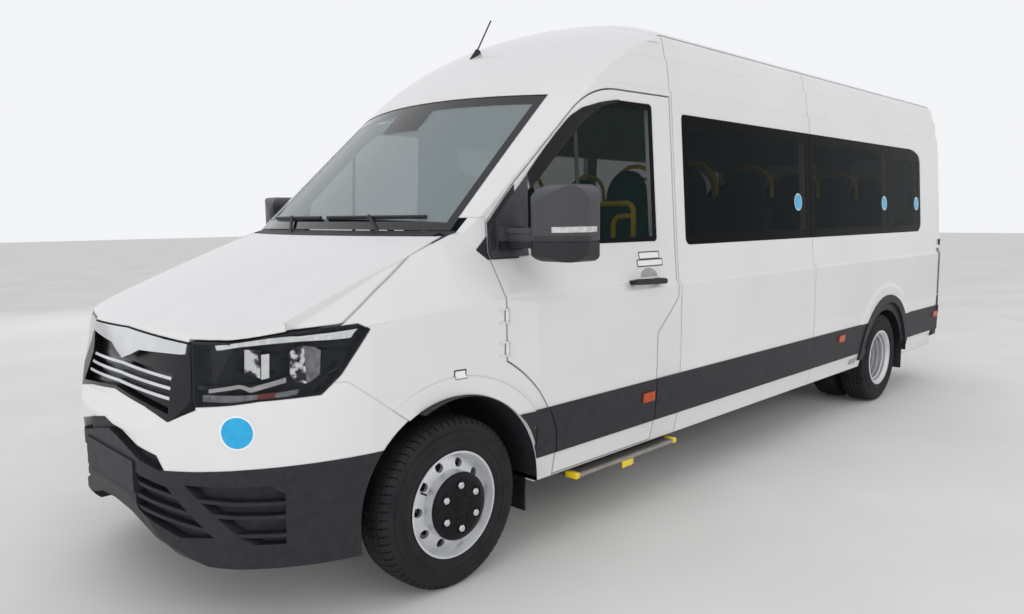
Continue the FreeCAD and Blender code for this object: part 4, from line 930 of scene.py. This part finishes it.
def arches():
    trees = surface("front_wings", "side_mouldings")
    for side, hand in HANDS:
        for i, (x, first, foot, edge) in enumerate(BANDS):
            turns = [math.pi * k / 36 for k in range(first, 37)]
            places = [(BAND_R * math.cos(turn), BAND_R * math.sin(turn) + ARCH_Z) for turn in turns]
            places.append((-BAND_R, foot))
            bm = bmesh.new()
            add_sheet(bm, [[at(x + dx, side * y, z) for y in (*BAND_INNER_Y, edge)] for dx, z in places],
                      (0, 0, -0.002))
            add_piece(f"arch_band_{hand}_{i}", bm, "trim_plastic")
        rows = []
        for turn in (math.pi * k / 48 for k in range(3, 46)):
            rows.append([at(AXLE_BACK + along * math.cos(turn), side * y, z + up * math.sin(turn))
                         for along, up, y, z in (PANEL_OUTER, PANEL_INNER)])
        bm = bmesh.new()
        add_sheet(bm, rows, (0, -side * 0.004, 0))
        add_piece(f"arch_panel_{hand}", bm, "trim_plastic")
        rear = [(FRONT_MOULD_X, z) for z in FRONT_MOULD_Z]
        front = [(BANDS[0][0] - math.sqrt(FRONT_MOULD_R ** 2 - (z - ARCH_Z) ** 2), z) for z in FRONT_MOULD_Z]
        side_ribbon(f"moulding_front_{hand}", side, (rear, front), trees, 0.006, "trim_plastic", count=12,
                    across=6)


# Rear end: sills behind the wheels, mud flaps, tail lamps, caps over the corners, blank sill plate

REAR_SILL = ((-5632, 930, 318), (-4935, 998, 452))
REAR_FLAP = ((-4936, 540, 205), (-4926, 996, 560))
TAIL_STRIP_X = (-5757, -5700)
TAIL_RED_Z = (1188, 772)
TAIL_BLACK_Z = (764, 600)
TAIL_CAP_AT = (-5768, 1240)
CORNER_X = (-5772, -5628)
CORNER_Z = (460, 408)
SILL_PLATE_AT = (-3900, 402)


def rear_end():
    cap = plate_outline(0.040, 0.052, 0.006, 4)
    sill_plate = plate_outline(0.130, 0.044, 0.004, 4)
    for side, hand in HANDS:
        wall = surface(f"side_wall_{hand}")
        trees = wall + surface("side_mouldings", "tail_lamps")
        bm = bmesh.new()
        side_box(bm, side, *REAR_SILL, 0.016, 3)
        add_piece(f"rear_sill_{hand}", bm, "white_paint")
        bm = bmesh.new()
        side_box(bm, side, *REAR_FLAP, 0.003)
        add_piece(f"rear_flap_{hand}", bm, "trim_plastic")
        for kind, heights, material in (("red", TAIL_RED_Z, "tail_red"),
                                        ("black", TAIL_BLACK_Z, "trim_plastic")):
            edges = [[(x, z) for z in heights] for x in TAIL_STRIP_X]
            side_ribbon(f"tail_strip_{kind}_{hand}", side, edges, trees, 0.003, material, count=30, across=4,
                        thick=0.002)
        edges = [[(x, z) for x in CORNER_X] for z in CORNER_Z]
        side_ribbon(f"rear_corner_{hand}", side, edges, trees, 0.003, "trim_plastic", count=30, across=6,
                    thick=0.002)
        side_patch(f"tail_cap_{hand}", cap, side, *TAIL_CAP_AT, trees, 0.002, "trim_plastic", thick=0.010)
        side_patch(f"sill_plate_{hand}", sill_plate, side, *SILL_PLATE_AT, wall, 0.0012, "hollow_grey")


# Rear doors: middle of the glass in millimetres, border outside and inside in metres, handle

REAR_GLASS_Y, REAR_GLASS_Z = 440, 1710
REAR_BORDERS = ((0.606, 0.646, 0.036), (0.550, 0.590, 0.024))
REAR_HANDLE = ((-5836, 46, 1030), (-5815, 206, 1066))
BEHIND_X = -6000


def rear_doors():
    """Black borders round the rear glass, and a handle."""
    for side, hand in HANDS:
        body = f"rear_door_{hand}"
        trees = surface(body, f"rear_glass_{hand}")
        edges = []
        for border in REAR_BORDERS:
            ring = plate_outline(*border)
            edges.append([at(BEHIND_X, side * REAR_GLASS_Y + 1000 * u, REAR_GLASS_Z + 1000 * v)
                          for u, v in ring + ring[:1]])
        ribbon(f"rear_border_{hand}", edges, (1, 0, 0), trees, 0.0016, "glass_black", body, count=96,
               across=5)
    bm = bmesh.new()
    side_box(bm, 1, *REAR_HANDLE, 0.007, 3)
    add_piece("rear_handle", bm, "trim_plastic", "rear_door_left")


# Side step: bright strip along its edge, yellow ends and a yellow mark

STEP_STRIP = ((-1500, 998, 296), (-730, 1006, 310))
STEP_ENDS = (((-1532, 940, 290), (-1500, 1006, 317)), ((-730, 940, 290), (-698, 1006, 317)))
STEP_MARK = ((-1150, 996, 258), (-1060, 1003, 292))


def step_trim():
    for side, _ in HANDS:
        bm = bmesh.new()
        side_box(bm, side, *STEP_STRIP, 0.002)
        add_piece(f"step_strip_{side}", bm, "exhaust_steel")
        bm = bmesh.new()
        for corners in (*STEP_ENDS, STEP_MARK):
            side_box(bm, side, *corners, 0.003)
        add_piece(f"step_corners_{side}", bm, "yellow_rail")


# Seats in metres: rows from the front axle, lowest y of each seat in a row, driver's seat, cushion and back

SEAT_ROWS = [-2.040 - 0.690 * row for row in range(5)]
SEAT_SIDES = (0.066, 0.488, -0.892)
SEAT_WIDE = 0.410
SEAT_LOW = 1.010
DRIVER_SEAT = (-1.260, -0.690, 0.480)
CUSHION_X = (0.020, 0.455)
CUSHION_Z = (0.006, 0.100)
CUSHION_GAP = 0.004
CUSHION_ROUND = 0.030
DIP_DEEP, DIP_WIDE = 0.012, 0.1
BACK_RISE = 0.045
BACK_HIGH = 0.728
BACK_DEEP = 0.080
BACK_GAP = 0.006
BACK_ROUND = 0.018
BACK_LEAN = 0.090
BACK_FOOT_X = 0.095
SHOULDER_SHARE = 0.76
SHOULDER_IN = 0.060


def cushion_mesh(wide):
    """Cushion with a shallow dip along its middle."""
    low = Vector((CUSHION_X[0], CUSHION_GAP, CUSHION_Z[0]))
    high = Vector((CUSHION_X[1], wide - CUSHION_GAP, CUSHION_Z[1]))
    bm = bmesh.new()
    add_box(bm, low, high, CUSHION_ROUND, 3)
    for vert in bm.verts:
        if vert.co.z > sum(CUSHION_Z) / 2:
            vert.co.z -= DIP_DEEP * math.exp(-((vert.co.y - wide / 2) / DIP_WIDE) ** 2)
    return finished("cushion", bm, 50, "seat_fabric")


def back_mesh(wide):
    """Seat back with square shoulders and a narrower arched top, leaning back."""
    half = wide / 2 - BACK_GAP
    arch = half - SHOULDER_IN
    foot = BACK_HIGH * SHOULDER_SHARE
    turns = [math.pi * k / 20 for k in range(1, 20)]
    outline = [(-half, 0.0), (-half, foot - 0.045), (-half + 0.03, foot - 0.01), (-arch, foot)]
    outline += [(-arch * math.cos(turn), foot + (BACK_HIGH - foot) * math.sin(turn)) for turn in turns]
    outline += [(arch, foot), (half - 0.03, foot - 0.01), (half, foot - 0.045), (half, 0.0)]
    bm = bmesh.new()
    face = bm.faces.new([bm.verts.new((0.0, wide / 2 + y, z)) for y, z in outline])
    thicken(bm, [face], Vector((-BACK_DEEP, 0, 0)))
    rims = [edge for edge in bm.edges if abs(edge.verts[0].co.x - edge.verts[1].co.x) < 1e-6]
    bmesh.ops.bevel(bm, geom=rims, offset=BACK_ROUND, segments=3, affect="EDGES", profile=0.5)
    for vert in bm.verts:
        vert.co.x += BACK_FOOT_X - BACK_LEAN * vert.co.z / BACK_HIGH
    return finished("seat_back", bm, 50, "seat_fabric")


def seats():
    places = [(x, y, SEAT_WIDE) for x in SEAT_ROWS for y in SEAT_SIDES] + [DRIVER_SEAT]
    for i, (x, y, wide) in enumerate(places):
        for kind, mesh, rise in (("cushion", cushion_mesh(wide), 0.0),
                                 ("back", back_mesh(wide), BACK_RISE)):
            mesh.transform(Matrix.Translation((X_AXLE + x, y, SEAT_LOW + rise)))
            obj = show(f"seat_{kind}_{i}", mesh, "root")
            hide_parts("seats")


wheels()
headlamps()
seats()
door_trim()
mirrors()
labels()
markers()
arches()
rear_end()
rear_doors()
step_trim()


# Stage: floor, lamps, world and camera, in metres

FLOOR_HALF = 60
SEEN_SKY = (0.90, 0.91, 0.93)
SOFT_LOW = (0.36, 0.362, 0.37)
SOFT_HIGH = (0.76, 0.765, 0.78)

# Camera fitted to the photo: focal length and picture width in pixels, place and axes
FOCAL_PIXELS = 784.15
PHOTO_PIXELS = 1024
SENSOR = 36.0
CAMERA_AT = at(1990.3, 3285.3, 1504.6)
CAMERA_RIGHT = (-0.70611, 0.70805, -0.00903)
CAMERA_UP = (-0.08775, -0.07484, 0.99333)
CAMERA_BACK = (0.70265, 0.70219, 0.11498)

# Each lamp: name, place, aim, size, power in watts and spread in radians
LAMPS = (("key", (7.5, 6.5, 9.0), (0, 0, 1.0), (9, 7), 10, math.pi),
         ("side", (0.5, 11.0, 5.5), (-0.5, 0, 0.9), (13, 5), 280, math.pi),
         ("nose", (19.0, 3.8, 3.6), (2.4, 0.3, 1.0), (9, 6), 160, 1.2),
         ("far", (-2.0, -10.0, 4.0), (0, 0, 1.0), (10, 5), 100, math.pi))


def stage_floor():
    data = bpy.data.meshes.new("floor")
    corners = [(FLOOR_HALF * x, FLOOR_HALF * y, 0) for x, y in ((-1, -1), (1, -1), (1, 1), (-1, 1))]
    data.from_pydata(corners, [], [(0, 1, 2, 3)])
    floor = bpy.data.objects.new("floor_plane", data)
    bpy.context.scene.collection.objects.link(floor)
    paving = paint("paving", (0.84, 0.835, 0.815), (0.90, 0.895, 0.875), 0.8, (0.6, 0.75, 3))
    data.materials.append(paving.material)


def area_lamp(name, place, aim, size, power, spread):
    """Soft lamp that shows in no reflection."""
    data = bpy.data.lights.new(name, "AREA")
    data.shape = "RECTANGLE"
    data.size, data.size_y = size
    data.energy = power
    data.spread = spread
    lamp = bpy.data.objects.new(name, data)
    bpy.context.scene.collection.objects.link(lamp)
    lamp.location = place
    lamp.rotation_euler = (Vector(aim) - Vector(place)).to_track_quat("-Z", "Y").to_euler()
    lamp.visible_glossy = False


def world_light():
    """Pale sky that the camera, gloss and glass see, and for the rest a soft light, stronger from above."""
    world = bpy.data.worlds.new("studio")
    bpy.context.scene.world = world
    world.use_nodes = True
    nodes, links = world.node_tree.nodes, world.node_tree.links
    nodes.clear()
    path = nodes.new("ShaderNodeLightPath")
    first = nodes.new("ShaderNodeMath")
    first.operation = "MAXIMUM"
    second = nodes.new("ShaderNodeMath")
    second.operation = "MAXIMUM"
    links.new(path.outputs["Is Camera Ray"], first.inputs[0])
    links.new(path.outputs["Is Glossy Ray"], first.inputs[1])
    links.new(first.outputs[0], second.inputs[0])
    links.new(path.outputs["Is Transmission Ray"], second.inputs[1])
    seen = nodes.new("ShaderNodeBackground")
    seen.inputs["Color"].default_value = (*SEEN_SKY, 1)
    soft = nodes.new("ShaderNodeBackground")
    place = nodes.new("ShaderNodeTexCoord")
    split = nodes.new("ShaderNodeSeparateXYZ")
    links.new(place.outputs["Generated"], split.inputs[0])
    sky = nodes.new("ShaderNodeValToRGB")
    for element, position, colour in zip(sky.color_ramp.elements, (0.0, 0.9), (SOFT_LOW, SOFT_HIGH)):
        element.position = position
        element.color = (*colour, 1)
    links.new(split.outputs[2], sky.inputs["Fac"])
    links.new(sky.outputs["Color"], soft.inputs["Color"])
    mix = nodes.new("ShaderNodeMixShader")
    out = nodes.new("ShaderNodeOutputWorld")
    links.new(second.outputs[0], mix.inputs["Fac"])
    links.new(soft.outputs[0], mix.inputs[1])
    links.new(seen.outputs[0], mix.inputs[2])
    links.new(mix.outputs[0], out.inputs["Surface"])


def camera():
    data = bpy.data.cameras.new("camera")
    data.sensor_width = SENSOR
    data.lens = FOCAL_PIXELS / PHOTO_PIXELS * SENSOR
    data.clip_start = 0.05
    data.clip_end = 400
    obj = bpy.data.objects.new("camera", data)
    bpy.context.scene.collection.objects.link(obj)
    turn = Matrix((CAMERA_RIGHT, CAMERA_UP, CAMERA_BACK)).transposed().to_4x4()
    obj.matrix_world = Matrix.Translation(CAMERA_AT) @ turn
    bpy.context.scene.camera = obj


stage_floor()
for lamp in LAMPS:
    area_lamp(*lamp)
world_light()
camera()
bpy.context.scene.view_settings.view_transform = "Standard"
